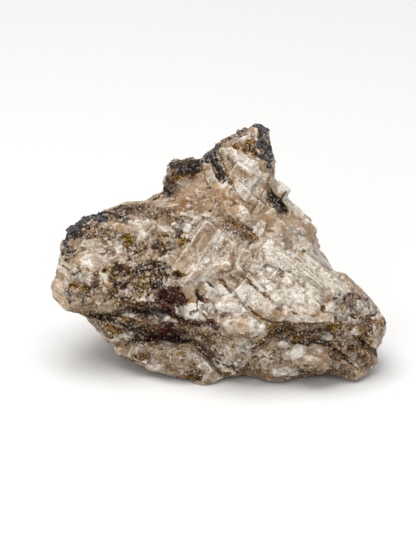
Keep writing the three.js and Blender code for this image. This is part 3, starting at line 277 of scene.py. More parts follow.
        (-18.2, 23.5, 1.5, 1.1, 0, 0.6), (-30.8, 16.9, 2.6, 1.7, 0, 1), (-34.1, 19.8, 2.2, 1.5, 0, 0.5),
        (-30.4, 23.9, 2.6, 0.9, -25, 0.6), (-50.8, 33.9, 1.1, 1.5, 0, 0.5),
        (-32.6, 30.6, 1.9, 1.1, 0, 0.4), (-18.9, 20.9, 2.6, 1.1, 0, 0.5),
        (-27.8, 54.6, 1.5, 0.4, 0, 0.6), (-8.2, 22.1, 3.7, 1.1, -25, 0.8),
    ],
    "grey": [
        (1.1, 76.1, 1.9, 1.9, -30, 0.7), (19.6, 56.9, 2.2, 1.9, 0, 0.7),
        (24.8, 59.1, 4.8, 1.3, -47, 0.6), (21.1, 65.8, 2.6, 1.5, -35, 0.4),
        (10, 53.5, 1.9, 1.9, 0, 0.6), (15.1, 61.7, 1.5, 2.2, -30, 0.4), (1.1, 50.6, 3, 1.9, 0, 0.6),
        (-7.8, 54.6, 1.9, 1.3, 0, 0.6), (8.9, 64.3, 2.2, 1.9, 30, 0.35), (-1.9, 69.1, 2.2, 2.2, 0, 0.4),
        (-8.6, 61.7, 7.4, 2.2, 15, 0.3), (7, 82.1, 4.8, 1.9, 20, 0.5), (11.1, 73.9, 2.6, 1.5, -35, 0.3),
        (10, 85.8, 3.3, 1.5, 28, 0.6), (17.4, 63.9, 1.9, 2.2, 0, 0.4), (10.5, 48.4, 3.3, 3, 0, 0.85),
        (5.7, 48.7, 2.2, 2.6, 0, 0.6), (24.2, 30.6, 4.8, 1, -3, 0.8), (26.8, 22.1, 7.4, 1.5, 0, 0.75),
        (-2.1, 30.2, 1.9, 1.9, 0, 0.7), (-5.8, 35.8, 5.6, 1.5, 15, 0.7), (30.1, 19.1, 4.8, 1.5, 0, 0.7),
        (19.8, 19.1, 2.2, 1.9, 0, 0.6), (22.7, 33.5, 3, 1.5, -10, 0.4),
        (34.2, 43.5, 2.2, 4.1, 40, 0.35), (23.5, 36.5, 2.2, 1.5, -10, 0.3),
        (25.3, 32.4, 4.8, 1.9, -20, 0.5), (23.5, 50.2, 5.9, 3.3, 0, 0.5),
        (-1.3, 43.9, 5.9, 3.3, 45, 0.45), (-31.9, 20.4, 3.3, 1.5, -10, 0.4),
        (-18.9, 20.8, 3.3, 2.6, -20, 0.5), (-10.4, 18.2, 4.4, 1.3, 10, 0.5),
        (-6, 13.4, 3, 1.1, -50, 0.5), (-5.6, 9.3, 2.2, 1.5, -40, 0.6), (-27.1, 11.5, 1.9, 1.5, 0, 0.7),
        (-24.9, 13.4, 1.5, 1.1, 0, 0.7), (10.3, 14.8, 2.2, 1.5, 0, 0.6), (-2.3, 4.1, 3, 1.9, 0, 0.4),
        (-21.5, 14.1, 2.2, 1.1, 0, 0.4), (-38.6, 21.5, 3, 1.5, 0, 0.35), (26.6, 30.9, 4.8, 1.1, 5, 0.8),
        (27.7, 22.1, 6.7, 1.5, 3, 0.8), (29.2, 19.1, 4.4, 1.5, 0, 0.75), (40.3, 23.9, 2.2, 1.5, 0, 0.7),
        (41.4, 16.9, 2.6, 1.1, 0, 0.6), (19.2, 18.4, 2.2, 2.2, 0, 0.6),
        (39.6, 11.3, 3.7, 1.5, -10, 0.5), (47, 7.6, 3, 1.5, -20, 0.5), (10.3, 14.6, 3.7, 1.1, -15, 0.5),
        (18.1, 7.6, 2.6, 2.2, 0, 0.4), (40.3, 5, 3.3, 2.2, 0, 0.4), (15.9, 13.5, 2.2, 1.1, 30, 0.4),
        (34.4, 11.3, 3, 2.2, 0, 0.35), (47, 25, 6.3, 4.8, 20, 0.75), (40.3, 28.4, 3.3, 2.6, 0, 0.5),
        (30.7, 15.8, 7.4, 1.1, 0, 0.4), (14.4, 12.4, 2.2, 1.5, -40, 0.5),
        (-41.5, 46.1, 3.7, 1.9, 0, 0.55), (-52.3, 32.1, 1.9, 3.3, 0, 0.55),
        (-47.8, 29.1, 2.2, 1.5, 0, 0.4), (-32.6, 29.1, 2.2, 1.9, 0, 0.4),
        (-26.3, 48.7, 2.2, 3.3, -40, 0.5), (-17.4, 48, 2.2, 1.1, -15, 0.8),
        (-24.1, 45, 1.1, 1.1, 0, 0.4), (-19.3, 22.4, 3, 1.9, 0, 0.5), (-12.3, 18, 3.7, 1.5, 10, 0.6),
        (-35.6, 27.2, 2.2, 1.5, 0, 0.4), (-8.2, 55, 2.2, 1.5, 0, 0.5), (-17.4, 56.1, 5.6, 1.5, 0, 0.3),
        (-51.5, 43.5, 2.2, 2.2, 0, 0.4), (-33.4, 51.7, 1.9, 1.1, 0, 0.4), (-37.8, 26.1, 3, 1.5, 0, 0.3),
        (-7.8, 34.6, 4.4, 1.3, 17, 0.6),
    ],
    # brown patches: partly a real brown film, partly painted shade on the lower band under the ledge
    "brown": [
        (-16, 55, 3.7, 1.5, 0, 0.5), (4.4, 52.4, 4.4, 2.2, -20, 0.4), (-15.2, 58.4, 2.2, 1.5, 0, 0.3),
        (5.5, 83.5, 6.3, 2.2, 26, 0.6), (-3.7, 61.7, 7.4, 4.1, 10, 0.3), (30.9, 18, 9.3, 2.2, 0, 0.4),
        (7.6, 51.3, 5.9, 2.2, -42, 1), (10.7, 49.1, 3, 2.4, 20, 0.9),
        (-1.3, 43.9, 5.6, 3.7, 45, 0.4), (23.5, 49.5, 5.9, 3, 0, 0.35),
        (-5.8, 16.1, 7.4, 2.2, -30, 0.5), (20.1, 19.8, 5.9, 2.2, 0, 0.7),
        (34.6, 16.5, 7.4, 2.2, 0, 0.6), (-38.6, 20.8, 5.9, 3, -35, 0.6),
        (-26.3, 20, 5.6, 2.2, -10, 0.6), (-31.9, 14.1, 4.1, 1.5, 0, 0.4),
        (-17.1, 15.6, 7.4, 1.9, 0, 0.6), (-22.3, 9.6, 4.8, 2.2, -20, 0.35),
        (-8.9, 5.2, 4.4, 2.2, 0, 0.45), (-0.4, 10.4, 5.6, 3.3, -40, 0.35),
        (-17.1, 7.4, 5.6, 2.2, -25, 0.3), (-16.3, 8.9, 7, 3.7, -10, 0.5),
        (-26.3, 18.5, 9.6, 2.2, 5, 0.8), (-11.5, 16.3, 6.3, 1.9, 10, 0.75),
        (33.7, 17.6, 9.3, 2.2, 0, 0.55), (42.2, 13.9, 7.4, 2.6, 0, 0.6),
        (19.2, 17.6, 4.4, 2.2, 0, 0.5), (39.6, 9.5, 4.4, 2.2, -20, 0.6), (47, 12.4, 5.9, 1.9, -20, 0.6),
        (40.3, 3.9, 5.9, 1.9, -8, 0.6), (19.2, 10.2, 3.7, 2.2, 0, 0.35),
        (14.4, 3.9, 3.3, 2.2, -20, 0.45), (32.9, 6.5, 5.6, 2.2, 0, 0.35),
        (46.3, 26.5, 3.7, 2.2, 0, 0.35), (30, 15.4, 12.2, 2.2, 0, 0.8),
        (45.9, 10.2, 6.7, 4.8, -30, 0.7), (-19.3, 17.2, 5.9, 2.2, 0, 0.6),
        (-35.6, 19.5, 5.9, 2.6, -35, 0.6), (-44.1, 22.8, 4.4, 0.7, -5, 0.6),
        (-29.7, 31.7, 5.6, 3.7, 0, 0.3), (-30.4, 57.6, 7.4, 1.5, 8, 1),
        (-21.1, 56.9, 5.6, 2.2, 10, 0.8), (-41.5, 51.3, 4.4, 2.2, 0, 0.3),
        (-23, 41.3, 3.7, 2.2, 0, 0.3), (-35.2, 37.6, 3, 2.2, 0, 0.5), (-47.1, 33.9, 3, 1.5, 0, 0.25),
        (-36.3, 51.3, 2.2, 1.1, 0, 0.6), (-31.1, 58.9, 7.4, 1.1, 8, 0.8),
        (-28.2, 57.6, 5.6, 1.5, 8, 0.9),
    ],
    "fibres_down": [
        (32, 37.6, 11.1, 4.8, -32, 1), (19.8, 40.2, 4.8, 1.9, -28, 0.8),
        (27.6, 27.6, 5.6, 2.2, -8, 0.6), (12.7, 29.5, 5.6, 2.6, -45, 0.3), (29, 22.1, 8.1, 1.5, 0, 0.4),
    ],
    "fibres_up": [
        (-1.3, 44.6, 7.4, 5.6, 50, 1), (-5.8, 35.8, 5.6, 1.5, 15, 0.6), (8.3, 41.3, 3.3, 3.3, 0, 0.5),
        (6.8, 20.2, 6.7, 2.6, 0, 0.5), (-27.1, 47.6, 3.7, 2.2, 58, 0.9), (-10, 50.6, 5.6, 4.4, 50, 0.6),
        (-24.9, 58.7, 11.1, 1.9, 15, 0.5), (-7.4, 35.8, 5.6, 1.9, 17, 0.6),
    ],
    "smooth": [
        (8.9, 64.3, 3.3, 2.6, -40, 0.8), (1.1, 76.1, 1.9, 1.9, -30, 0.7), (21.1, 65.8, 3, 1.9, -35, 1),
        (15.5, 57.2, 4.1, 1.9, 30, 0.5), (24.8, 59.1, 4.8, 1.3, -47, 0.8),
        (-4.9, 63.9, 7.4, 3.3, 0, 0.35), (22.9, 52.8, 5.6, 3, 0, 0.5), (9.6, 73.2, 4.1, 1.9, -35, 0.6),
        (12.7, 29.5, 5.9, 3, -45, 0.8), (24.2, 30.6, 4.8, 1.1, -3, 0.9), (6.8, 19.8, 7, 2.6, 0, 0.7),
        (10.5, 48.4, 3.3, 3, 0, 0.8), (25.3, 50.2, 5.9, 3.3, 0, 0.5), (-5.8, 35.8, 5.6, 1.5, 15, 0.6),
        (26.8, 22.1, 7.4, 1.1, 0, 0.7), (4.2, 25.8, 5.2, 1.5, 0, 0.6), (2.4, 30.9, 2.6, 1.9, -45, 0.8),
        (-2.1, 30.2, 1.5, 1.5, 0, 0.8), (28, 39.1, 14.1, 2.4, -28, 0.5), (-0.6, 44.6, 7, 5.2, 50, 0.95),
        (-12.6, 8.2, 4.4, 2.2, -30, 0.7), (-19.3, 10.8, 4.1, 2.2, -20, 0.6),
        (-23, 5.9, 5.9, 1.1, -22, 0.6), (-10.4, 18.2, 4.1, 1.3, 10, 0.5), (5.1, 20, 5.6, 2.2, 0, 0.5),
        (-30.8, 17.2, 1.9, 1.5, 0, 0.9), (-11.1, 24.8, 4.1, 1.9, 0, 0.6), (32.9, 9.1, 4.4, 3.3, 0, 0.7),
        (26.6, 30.9, 4.8, 1.1, 5, 0.8), (29.2, 19.1, 4.4, 1.5, 0, 0.6), (51.4, 8.4, 2.2, 1.5, 0, 0.5),
        (25.5, 11.3, 3.7, 2.2, 20, 0.3), (-41.5, 46.1, 4.1, 2.2, 0, 0.8), (-53, 30.9, 2.2, 4.8, 0, 0.9),
        (-36.3, 33.9, 2.2, 3, 0, 0.6), (-52.3, 39.1, 2.2, 1.5, -30, 0.8),
        (-27.4, 39.5, 2.2, 1.5, 40, 0.8), (-24.9, 59.1, 11.1, 1.9, 0, 0.3),
        (-17.4, 48, 2.2, 1.1, 0, 0.6), (-41.1, 28.7, 1.9, 1.5, 0, 0.6), (-30.8, 16.9, 2.2, 1.5, 0, 0.9),
    ],
    # umber patches: dark earth in pockets and fissures, partly painted shadow in the crevices
    "umber_and_shadow": [
        (19.4, 61.1, 5, 1.6, -50, 1), (9.6, 78.7, 2.6, 1.5, -15, 0.4),
        (18.9, 60.8, 4.6, 2.3, -50, 1), (-10.8, 72.1, 5.6, 3.3, 0, 1), (0.9, 69.6, 2.9, 1.6, -52, 1),
        (-7.4, 72.4, 1.5, 3, 0, 0.9), (-15.2, 69.1, 2.2, 2.6, 0, 0.7), (-17.4, 66.1, 1.5, 2.2, 0, 0.6),
        (10.7, 79.1, 2.6, 1.5, -15, 0.5), (19.4, 18.5, 2.6, 2.2, 0, 0.45),
        (24.2, 17.6, 2.2, 1.1, 0, 0.6), (-6.9, 30.2, 1.1, 1.9, 0, 0.9), (4.2, 54.3, 3, 1.5, -40, 0.5),
        (10.1, 49.8, 2.2, 1.5, -40, 0.45), (12.7, 48.4, 1.1, 1.1, 0, 0.4),
        (-23.7, 15.9, 4.1, 0.7, 0, 0.8), (-10.8, 14.5, 3, 0.9, -8, 0.95),
        (-25.2, 9.6, 2.2, 1.5, -30, 0.5), (-23, 10, 0.7, 2.2, 60, 0.4), (-8.2, 2.2, 3.3, 1.1, 0, 0.8),
        (-25.6, 9.5, 3.7, 1.5, 0, 0.6), (-22.3, 17.1, 5.9, 1.3, 5, 0.55),
        (-31.9, 18.2, 3, 1.1, -30, 0.5), (-27.1, 19.3, 5.6, 1.3, 8, 0.7),
        (-17.1, 17.1, 7.4, 1.3, 5, 0.75), (-23, 25.9, 3.3, 1.5, 10, 0.75),
        (-10.4, 19.6, 4.4, 1.1, 10, 0.6), (-1.1, 9.6, 4.4, 0.9, -45, 0.6),
        (23.7, 16.5, 2.2, 0.9, 0, 0.7), (36.6, 19.3, 1.1, 0.9, 0, 0.8),
        (49.6, 12.4, 3.3, 0.9, -25, 0.6), (37.4, 12.4, 2.2, 0.9, -20, 0.6),
        (18.5, 20.6, 1.5, 0.7, 0, 0.5), (44, 12.4, 1.9, 0.7, 0, 0.5), (21.8, 18.7, 4.8, 1.7, 0, 0.7),
        (30.7, 14.5, 7, 1.1, 0, 0.8), (21.1, 16.9, 4.4, 0.9, 0, 0.7), (40.3, 10.9, 3.3, 1.5, -30, 0.6),
        (16.6, 7.2, 2.2, 1.1, 0, 0.4), (47, 9.5, 2.6, 1.1, -40, 0.6),
        (-29.7, 33.9, 2.2, 1.1, 0, 0.4), (-18.2, 45, 1.1, 1.3, 0, 0.9), (-23.7, 25.4, 3, 0.9, -15, 0.5),
        (-32.9, 38, 3, 2.6, 0, 0.75), (-30.4, 46.9, 1.3, 1.9, 0, 0.6), (-21.5, 40.9, 2.2, 1.3, 30, 0.6),
        (-13.7, 37.2, 1.5, 0.9, 0, 0.7), (-17.8, 45.6, 1.5, 2, 0, 0.6),
        (-26.7, 25.4, 5.6, 1.9, -10, 0.7), (-34.1, 38.7, 1.5, 1.1, 0, 0.8),
        (-30.4, 36.1, 3.3, 1.5, 0, 0.55), (-26, 32.8, 2.2, 1.9, 20, 0.55),
        (-21.9, 37.6, 3, 1.5, 0, 0.6), (-35.6, 30.2, 2.2, 1.5, 0, 0.4), (-23, 35.4, 2.2, 1.1, 30, 0.5),
        (-39.7, 34.3, 1.5, 0.9, 0, 0.45), (-44.1, 33.2, 1.9, 0.7, 0, 0.4),
        (-35.6, 43.9, 1.9, 1.1, 0, 0.35), (-27.4, 20.6, 4.4, 1.1, -5, 0.5),
    ],
}

# Thin veins, fissures and edges on the show face, as
# (half width, strength, then the (across, up) places they run through).
STROKES = {
    # umber strokes: dark earth in the fissures, and painted shadow in the crevices and under the slab's
    # edge
    "umber_and_shadow": [
        (0.28, 0.6, (1.1, 73.9), (2.6, 70.2), (4.8, 66.1), (7, 62.1), (10, 59.5)),
        (0.45, 0.8, (22.2, 63.9), (20.7, 61.7)),
        (0.4, 0.9, (0.1, 35), (2, 33.2), (4, 30.8)),
        (0.3, 0.95, (-3.7, 34.1), (-1.7, 31.9)),
        (0.3, 0.7, (7.2, 36.1), (9.8, 34.3), (12.4, 31.9)),
        (0.25, 0.65, (13.9, 30.6), (15.7, 29.1), (17.6, 27.8)),
        (0.3, 0.7, (8.3, 27.6), (10.5, 25.4), (13.1, 23.2), (16.1, 21.3)),
        (0.35, 0.8, (16.1, 21), (22.4, 21)),
        (0.4, 0.75, (22.7, 20.2), (31.3, 20.3)),
        (0.35, 0.65, (31.6, 20.6), (36.8, 20.6)),
        (0.3, 0.6, (22, 38.4), (23.5, 37.6)),
        (0.4, 0.7, (-7.3, 17.6), (-5, 15)),
        (0.4, 0.8, (-7.6, 20.6), (-3.9, 20.9), (-2.4, 21.3)),
        (0.3, 0.6, (-7.3, 28.4), (-7.3, 25.8)),
        (0.35, 0.7, (-43, 23.9), (-39.3, 23.7), (-35.6, 23.4), (-31.9, 22.6), (-28.2, 21.3)),
        (0.5, 0.8, (-27.1, 25.2), (-23, 25.9), (-19.3, 25.2), (-16.3, 23.4), (-14.1, 22.2)),
        (0.5, 0.9, (-28.6, 14.8), (-22.3, 15.2), (-17.1, 14.8), (-13.4, 14.5), (-8.9, 13.9)),
        (0.5, 0.8, (-8.9, 13.9), (-6.3, 11.5), (-3.4, 9.3), (-0.4, 7.1)),
        (0.3, 0.8, (1.4, 6.7), (4.8, 5.2), (6.6, 3.9)),
        (0.5, 0.8, (-3.7, 21.5), (-1.5, 19.3), (-0.4, 17.4)),
        (0.35, 0.5, (-7.4, 25.9), (-6, 24.1), (-4.1, 22.2)),
        (0.45, 0.75, (23.3, 17.2), (26.3, 15.4), (29.2, 14.3), (32.9, 13.9), (35.1, 13.2)),
        (0.6, 0.85, (35.5, 14.6), (38.9, 11.7), (42.2, 8.7)),
        (0.6, 0.9, (46.3, 15.8), (49.2, 13.2), (51.8, 11.3), (53.3, 10.9)),
        (0.3, 0.6, (19.2, 12.4), (21.8, 11.7), (24.4, 13.2), (25.5, 14.6)),
        (0.4, 0.6, (42.6, 8), (44.8, 5.8), (46.3, 5)),
        (0.3, 0.6, (16.3, 18.7), (17.7, 15.8), (14.4, 15.8)),
        (0.45, 0.95, (-38.2, 57.6), (-35.6, 57.1), (-32.6, 56.1), (-29.7, 55)),
        (0.35, 0.6, (-48.9, 23.7), (-43.4, 23.2), (-38.9, 23.7)),
        (0.4, 0.7, (-32.6, 25.8), (-28.2, 26.3), (-24.5, 26.9), (-21.1, 26.5)),
        (0.25, 0.6, (-54.1, 40.9), (-51.9, 39.5), (-48.9, 37.6)),
        (0.3, 0.8, (-30.4, 41.3), (-27.1, 43.9), (-24.1, 45.8)),
        (0.5, 0.7, (-18.9, 46.9), (-18.2, 44.3), (-19.3, 42.8)),
        (0.4, 0.7, (-15.6, 22.8), (-11.9, 21.7), (-7.1, 20.9)),
        (1.1, 0.8, (-42.6, 22.8), (-36.7, 21.3), (-31.3, 20.5), (-25.5, 17.1), (-20.8, 15.6),
         (-16.3, 15.4), (-8.3, 14.2), (-2.6, 9.6)),
        (0.8, 0.8, (-18.7, 25.6), (-14.9, 23), (-11.7, 21.2), (-6, 20.6), (-1.3, 19.8)),
        (0.4, 0.9, (10.9, 24.6), (12.7, 23.2), (15.7, 21.5)),
        (0.35, 0.7, (-21.9, 61.3), (-18.6, 63.5), (-15.6, 65.8)),
        (0.5, 0.8, (44, 16.5), (48.9, 12.4), (52.9, 9.5)),
    ],
    "rust": [
        (0.3, 0.8, (17.4, 69.8), (15.9, 66.1), (13.7, 62.4), (11.4, 58.4), (10.7, 56.5)),
        (0.25, 0.6, (4, 65.4), (5.9, 62.4), (9.6, 59.8)),
        (0.25, 0.55, (3.1, 47.2), (4.8, 44.6), (5, 42.4)),
        (0.22, 0.5, (32.4, 41.1), (34.6, 39.8), (37.6, 38), (40.1, 36.5)),
        (0.22, 0.6, (-45.6, 48.7), (-41.5, 49.1), (-37.8, 48), (-36.3, 45), (-37.8, 43.2)),
        (0.3, 0.6, (-34.9, 13), (-31.9, 14.1), (-28.2, 14.8)),
    ],
    "gold": [
        (0.22, 0.8, (14.2, 44.3), (14.6, 41.7), (15.3, 38.4), (15.9, 35.4)),
        (0.22, 0.7, (9.4, 45.4), (9.6, 42.8), (10.9, 40.2), (11.3, 37.2)),
        (0.22, 0.6, (-2.1, 38.7), (0.9, 39.5), (2.7, 40.2)),
        (0.28, 0.8, (8.3, 52.4), (10.5, 50.2), (12.7, 48.4), (13.9, 46.1)),
        (0.22, 0.6, (25, 46.1), (27.6, 44.3)),
        (0.22, 0.6, (25.7, 33.9), (29, 32.1), (31.3, 32.1), (33.1, 29.8), (34.6, 29.1)),
        (0.22, 0.6, (32.7, 29.1), (36.1, 29.5), (39, 31.3)),
        (0.22, 0.6, (2.4, 28), (4.6, 27.6), (7.9, 27.2)),
        (0.22, 0.5, (3.1, 38.4), (5.3, 38.4), (6.8, 36.9)),
        (0.6, 0.65, (0.1, 35), (2, 33.2), (4, 30.8)),
        (0.55, 0.65, (7.2, 36.1), (9.8, 34.3), (12.4, 31.9)),
        (0.5, 0.6, (13.9, 30.6), (15.7, 29.1), (17.6, 27.8)),
        (0.5, 0.6, (8.3, 27.6), (10.5, 25.4), (13.1, 23.2), (16.1, 21.3)),
    ],
    "white": [
        (0.45, 0.6, (-8, 38), (-4.3, 39.8), (0.9, 40.6), (3.9, 40.2)),
        (0.3, 0.6, (-30.8, 54.3), (-26.7, 53.2), (-23.4, 55)),
        (0.3, 0.55, (-12.6, 56.5), (-10, 56.9), (-7.1, 55)),
        (0.3, 0.6, (-5.6, 53.5), (-8.2, 50.6), (-10.8, 48.4)),
        (0.9, 0.6, (22.2, 61.7), (25.5, 58), (28.9, 54.6)),
        (1, 0.7, (15.7, 42.1), (21.6, 40.2), (29, 38.4), (36.4, 35.4), (41.3, 33.2)),
        (0.4, 0.7, (24.2, 29.1), (29, 28.7), (32.4, 27.2)),
        (0.35, 0.6, (0.3, 23.7), (-0.4, 21.1)),
        (0.3, 0.8, (2.4, 22.8), (2.7, 19.1)),
        (0.3, 0.7, (10.5, 21.7), (11.6, 18.7)),
        (0.3, 0.7, (14.6, 20.9), (16.1, 18.7), (15.3, 16.9)),
        (0.3, 0.5, (6.3, 65.4), (8.5, 68), (11.1, 69.1)),
        (0.25, 0.5, (5.9, 63.9), (8.9, 60.6)),
        (0.25, 0.45, (12.9, 55.8), (16.3, 57.2), (18.9, 59.5)),
    ],
}

# Each colour attribute carries three kinds of patch.
LAYERS = {
    "minerals": ("hematite", "limonite", "maroon"),
    "tints": ("rust", "peach", "white"),
    "bodies": ("grey", "speckled", "brown"),
    "finishes": ("fibres_down", "fibres_up", "smooth"),
}

# All that is kept at the points of the stone's mesh, three values to a colour attribute.
KEPT = {
    **LAYERS,
    "depths": ("near", "far", "umber_and_shadow"),
    "blocks": ("block", "gold", "shaded_underside"),
    "pieces": ("piece", "piece_kind", "piece_gap"),
    "grits": ("grain", "grain_kind", "grain_gap"),
}

# Patches of the sides and the back: width in millimetres, and share of the surface.
BACK_PATCHES = {
    "hematite": (13, 0.05), "limonite": (5, 0.012), "maroon": (9, 0.008), "rust": (9, 0.06),
    "peach": (16, 0.3), "white": (12, 0.12), "grey": (12, 0.25), "speckled": (16, 0.12),
    "brown": (15, 0.15), "fibres_down": (16, 0.3), "fibres_up": (14, 0.3), "smooth": (12, 0.3),
}

# The streaks' pattern of each kind of fibrous quartz.
STREAKS = {"fibres_down": "down", "fibres_up": "up"}

# Kinds of patch that are made of grains and not of solid quartz.
GRITTY = ("speckled", "hematite", "limonite", "rust", "maroon")

# How each coat lies on the quartz: how uneven its border is, how soft, at what strength of its
# patch it begins, and how fully it hides what is under it.
COATS = {
    "peach": (1.2, 0.35, 0.4, 0.42), "grey": (1.2, 0.2, 0.4, 0.7), "white": (1.3, 0.28, 0.4, 0.8),
    "speckled": (1.4, 0.15, 0.4, 0.92), "brown": (1.6, 0.3, 0.4, 0.65),
    "rust": (1.3, 0.32, 0.4, 0.65), "hematite": (2.4, 0.2, 0.4, 0.88),
    "halo": (2.2, 0.3, 0.3, 0.75), "limonite": (1.2, 0.2, 0.4, 0.92),
    "umber_and_shadow": (1.4, 0.25, 0.4, 0.9), "gold": (1.2, 0.35, 0.4, 0.65),
    "maroon": (1.6, 0.14, 0.4, 0.92),
}

# Colours along a tone from dark to light. One without # is a colour of the panel.
TONES = {
    "body": [(0.17, "tan"), (0.46, "beige"), (0.7, "cream"), (0.95, "white")],
    "clear": [(0.34, "#7C7060"), (0.48, "grey"), (0.64, "#D8D3C9")],
    # crystal: each crystal's own tone, partly painted shading of its facets
    "crystal": [(0.05, "#7F6E57"), (0.35, "#C2B39D"), (0.6, "#F1ECE3"), (0.9, "#FFFFFF")],
    "milky": [(0.34, "#A08F75"), (0.48, "#C4B8A4"), (0.62, "#E4DDD0")],
    "fresh": [(0.36, "#A3947C"), (0.45, "#CEC4B1"), (0.53, "#ECE6DC"), (0.62, "white")],
    "streak": [(0.36, "#BCA98C"), (0.44, "#E8E0D2"), (0.5, "#FFFFFF")],
    "clast": [(0.1, "#24150B"), (0.26, "#54391F"), (0.4, "#866644"), (0.54, "#B29974"),
              (0.72, "#CFBD9F"), (0.92, "#F3EDE1")],
    "grit": [(0.1, "#1F120A"), (0.36, "#452A15"), (0.54, "#755434"), (0.72, "#A58A68"),
             (0.88, "#D3C3AA"), (1.0, "#F2ECE0")],
    "weathered": [(0.36, "#3E2D1D"), (0.5, "brown"), (0.68, "#A98B64")],
    "rust": [(0.34, "#5A3A16"), (0.54, "rust"), (0.72, "#CE9A50")],
    "steel": [(0.34, "#111012"), (0.56, "hematite"), (0.74, "#47474D"), (0.85, "#7C7B7E"),
              (0.96, "#C4BEB5")],
    "ochre": [(0.42, "#20140A"), (0.58, "#5A3C10"), (0.73, "limonite"), (0.9, "#D4A840")],
    "soil": [(0.4, "#100904"), (0.58, "umber_and_shadow"), (0.8, "#50371B"), (1.0, "#8A6630")],
    "red_earth": [(0.4, "#240A07"), (0.56, "maroon"), (0.78, "#7F3626")],
    "hematite_grain": [(0.0, "#19181A"), (0.5, "#2D2D32"), (0.82, "#55565C"), (1.0, "#A4A19E")],
    "quartz_grain": [(0.0, "#2E2115"), (0.3, "#5A442C"), (0.6, "#927A58"), (0.85, "#C9B89C"),
                     (1.0, "#F4EEE3")],
    "limonite_grain": [(0.0, "#34230B"), (0.5, "#84611A"), (1.0, "#CC9E36")],
    "paper": [(0.3, "#F9F9F8"), (0.7, "#FBFBFA")],
}

BACK_DEPTHS = (-9, -3)  # millimetres out from the face's zero: all back, and all show face
PATCH_BORDER = (0.65, 1.3)  # parts of a patch's half widths between which it fades out
STROKE_BORDER = (0.5, 1.6)  # the same for a stroke
FIBRES_DOWN_TURN = math.radians(-42)  # laths and cleavage that run down to the right
FIBRES_UP_TURN = math.radians(58)  # streaks that run up to the right
MOST_TRIANGLES = 195_000  # in the skin of the stone

NEAR_ROUNDS, FAR_ROUNDS = 12, 160  # rounds of evening out that give the surface near and far
NEAR_DEPTH, FAR_DEPTH = 0.3 * MM, 1.6 * MM  # depths under those that count as a full hollow
WEAR_ROUNDS, WEAR = 6, 0.7  # how far the edges of the coarse form are worn
SILTED_DEPTH, SILTED = 0.3 * MM, 0.7  # hollows deeper than this are partly filled with grit

STEP = 1.3 * MM  # width of the little cleavage faces
SPECK = 0.5 * MM  # width of the salt-and-pepper grains

CAMERA_AIM = (-3.67, 35.67)  # what the camera looks at, on the show face
CAMERA_DISTANCE = 1500  # millimetres, so that near and far parts look alike in size
CAMERA_LENS = 292  # millimetres
ROOM_LIGHT = 0.39  # strength of the even white light from all round

# Lamps, aimed at LAMP_AIM: place and width in metres, power in watts.
LAMPS = {
    "overhead": ((-0.12, -0.1, 0.95), 0.8, 7.4),
    "front_fill": ((-0.35, -1.1, 0.6), 0.6, 2.0),
    "glint": ((0.3, -0.7, 0.75), 0.12, 0.5),
}
LAMP_AIM = (0, 0, 0.035)


# ---------------------------------------------------------------- sizes and colours


def length(name, description, default, least=0.0):
    """A size for the panel, in metres."""
    return bpy.props.FloatProperty(
        name=name, description=description, default=default, min=least,
        subtype="DISTANCE", unit="LENGTH")


def shade(name, description, default):
    """A colour for the panel, as an sRGB hex value."""
    return bpy.props.StringProperty(name=name, description=description, default=default)


class SpecimenSizes(bpy.types.PropertyGroup):
    """Sizes of the stone's surface."""

    skin: length("Skin Fineness", "Spacing of the points of the stone's skin",
                 0.45 * MM, 0.3 * MM)
    block: length("Cleavage Block", "Width of the small square cleavage steps",
                  3.2 * MM, 0.5 * MM)
    block_relief: length("Cleavage Relief", "Height of the small square cleavage steps",
                         0.2 * MM)
    joint_depth: length("Joint Depth", "Depth of the hairline gaps between crystals", 0.18 * MM)
    fragment: length("Fragment", "Width of the angular fragments of broken quartz",
                     2.4 * MM, 0.5 * MM)
    fragment_relief: length("Fragment Relief", "Height of the fragments of broken quartz",
                            0.6 * MM)
    lath: length("Lath", "Width of the long laths that lie side by side", 2.6 * MM, 0.3 * MM)
    grain: length("Grain", "Width of the grains of the granular parts", 1.2 * MM, 0.3 * MM)
    grain_relief: length("Grain Relief", "Height of the grains of the granular parts",
                         0.45 * MM)
    fissure_depth: length("Fissure Depth", "Depth of the dark pockets and fissures", 0.3 * MM)
    seed: bpy.props.IntProperty(
        name="Seed", description="Changes the borders of the minerals and the grains", default=7,
        min=1)


class SpecimenColours(bpy.types.PropertyGroup):
    """Colours of the minerals."""

    cream: shade("Cream Quartz", "Light body colour", "#CFBA9B")
    beige: shade("Beige Quartz", "Commonest body colour", "#B59B7D")
    tan: shade("Tan Quartz", "Darkest body colour", "#846641")
    white: shade("White Quartz", "Fresh cleavages and laths", "#FBF8F1")
    grey: shade("Grey Quartz", "Clearer, greyer quartz", "#A19686")
    peach: shade("Peach Stain", "Faint pinkish iron stain", "#D8A76C")
    rust: shade("Rust", "Orange-brown iron oxide", "#9A6626")
    limonite: shade("Limonite", "Ochre-yellow iron oxide", "#986E1A")
    maroon: shade("Earthy Hematite", "Dark red earthy hematite", "#541810")
    hematite: shade("Hematite", "Black steely hematite", "#2A2A2F")
    # brown is also the colour of the painted shade where the stone looks down
    brown: shade("Weathered Brown", "Brown film of the sheltered parts", "#664C32")
    # umber is also the colour of the painted shadow in the crevices and under the slab's edge
    umber_and_shadow: shade("Umber", "Dark brown earth in the fissures", "#2A1B0E")


def sizes():
    return bpy.context.scene.specimen_sizes


def linear(code):
    """Linear colour of an sRGB hex value, or of a colour of the panel by its name."""
    if not code.startswith("#"):
        code = getattr(bpy.context.scene.specimen_colours, code)
    parts = [int(code[i:i + 2], 16) / 255 for i in (1, 3, 5)]
    return (*[v / 12.92 if v <= 0.04045 else ((v + 0.055) / 1.055) ** 2.4 for v in parts], 1.0)


# ---------------------------------------------------------------- places on the show face


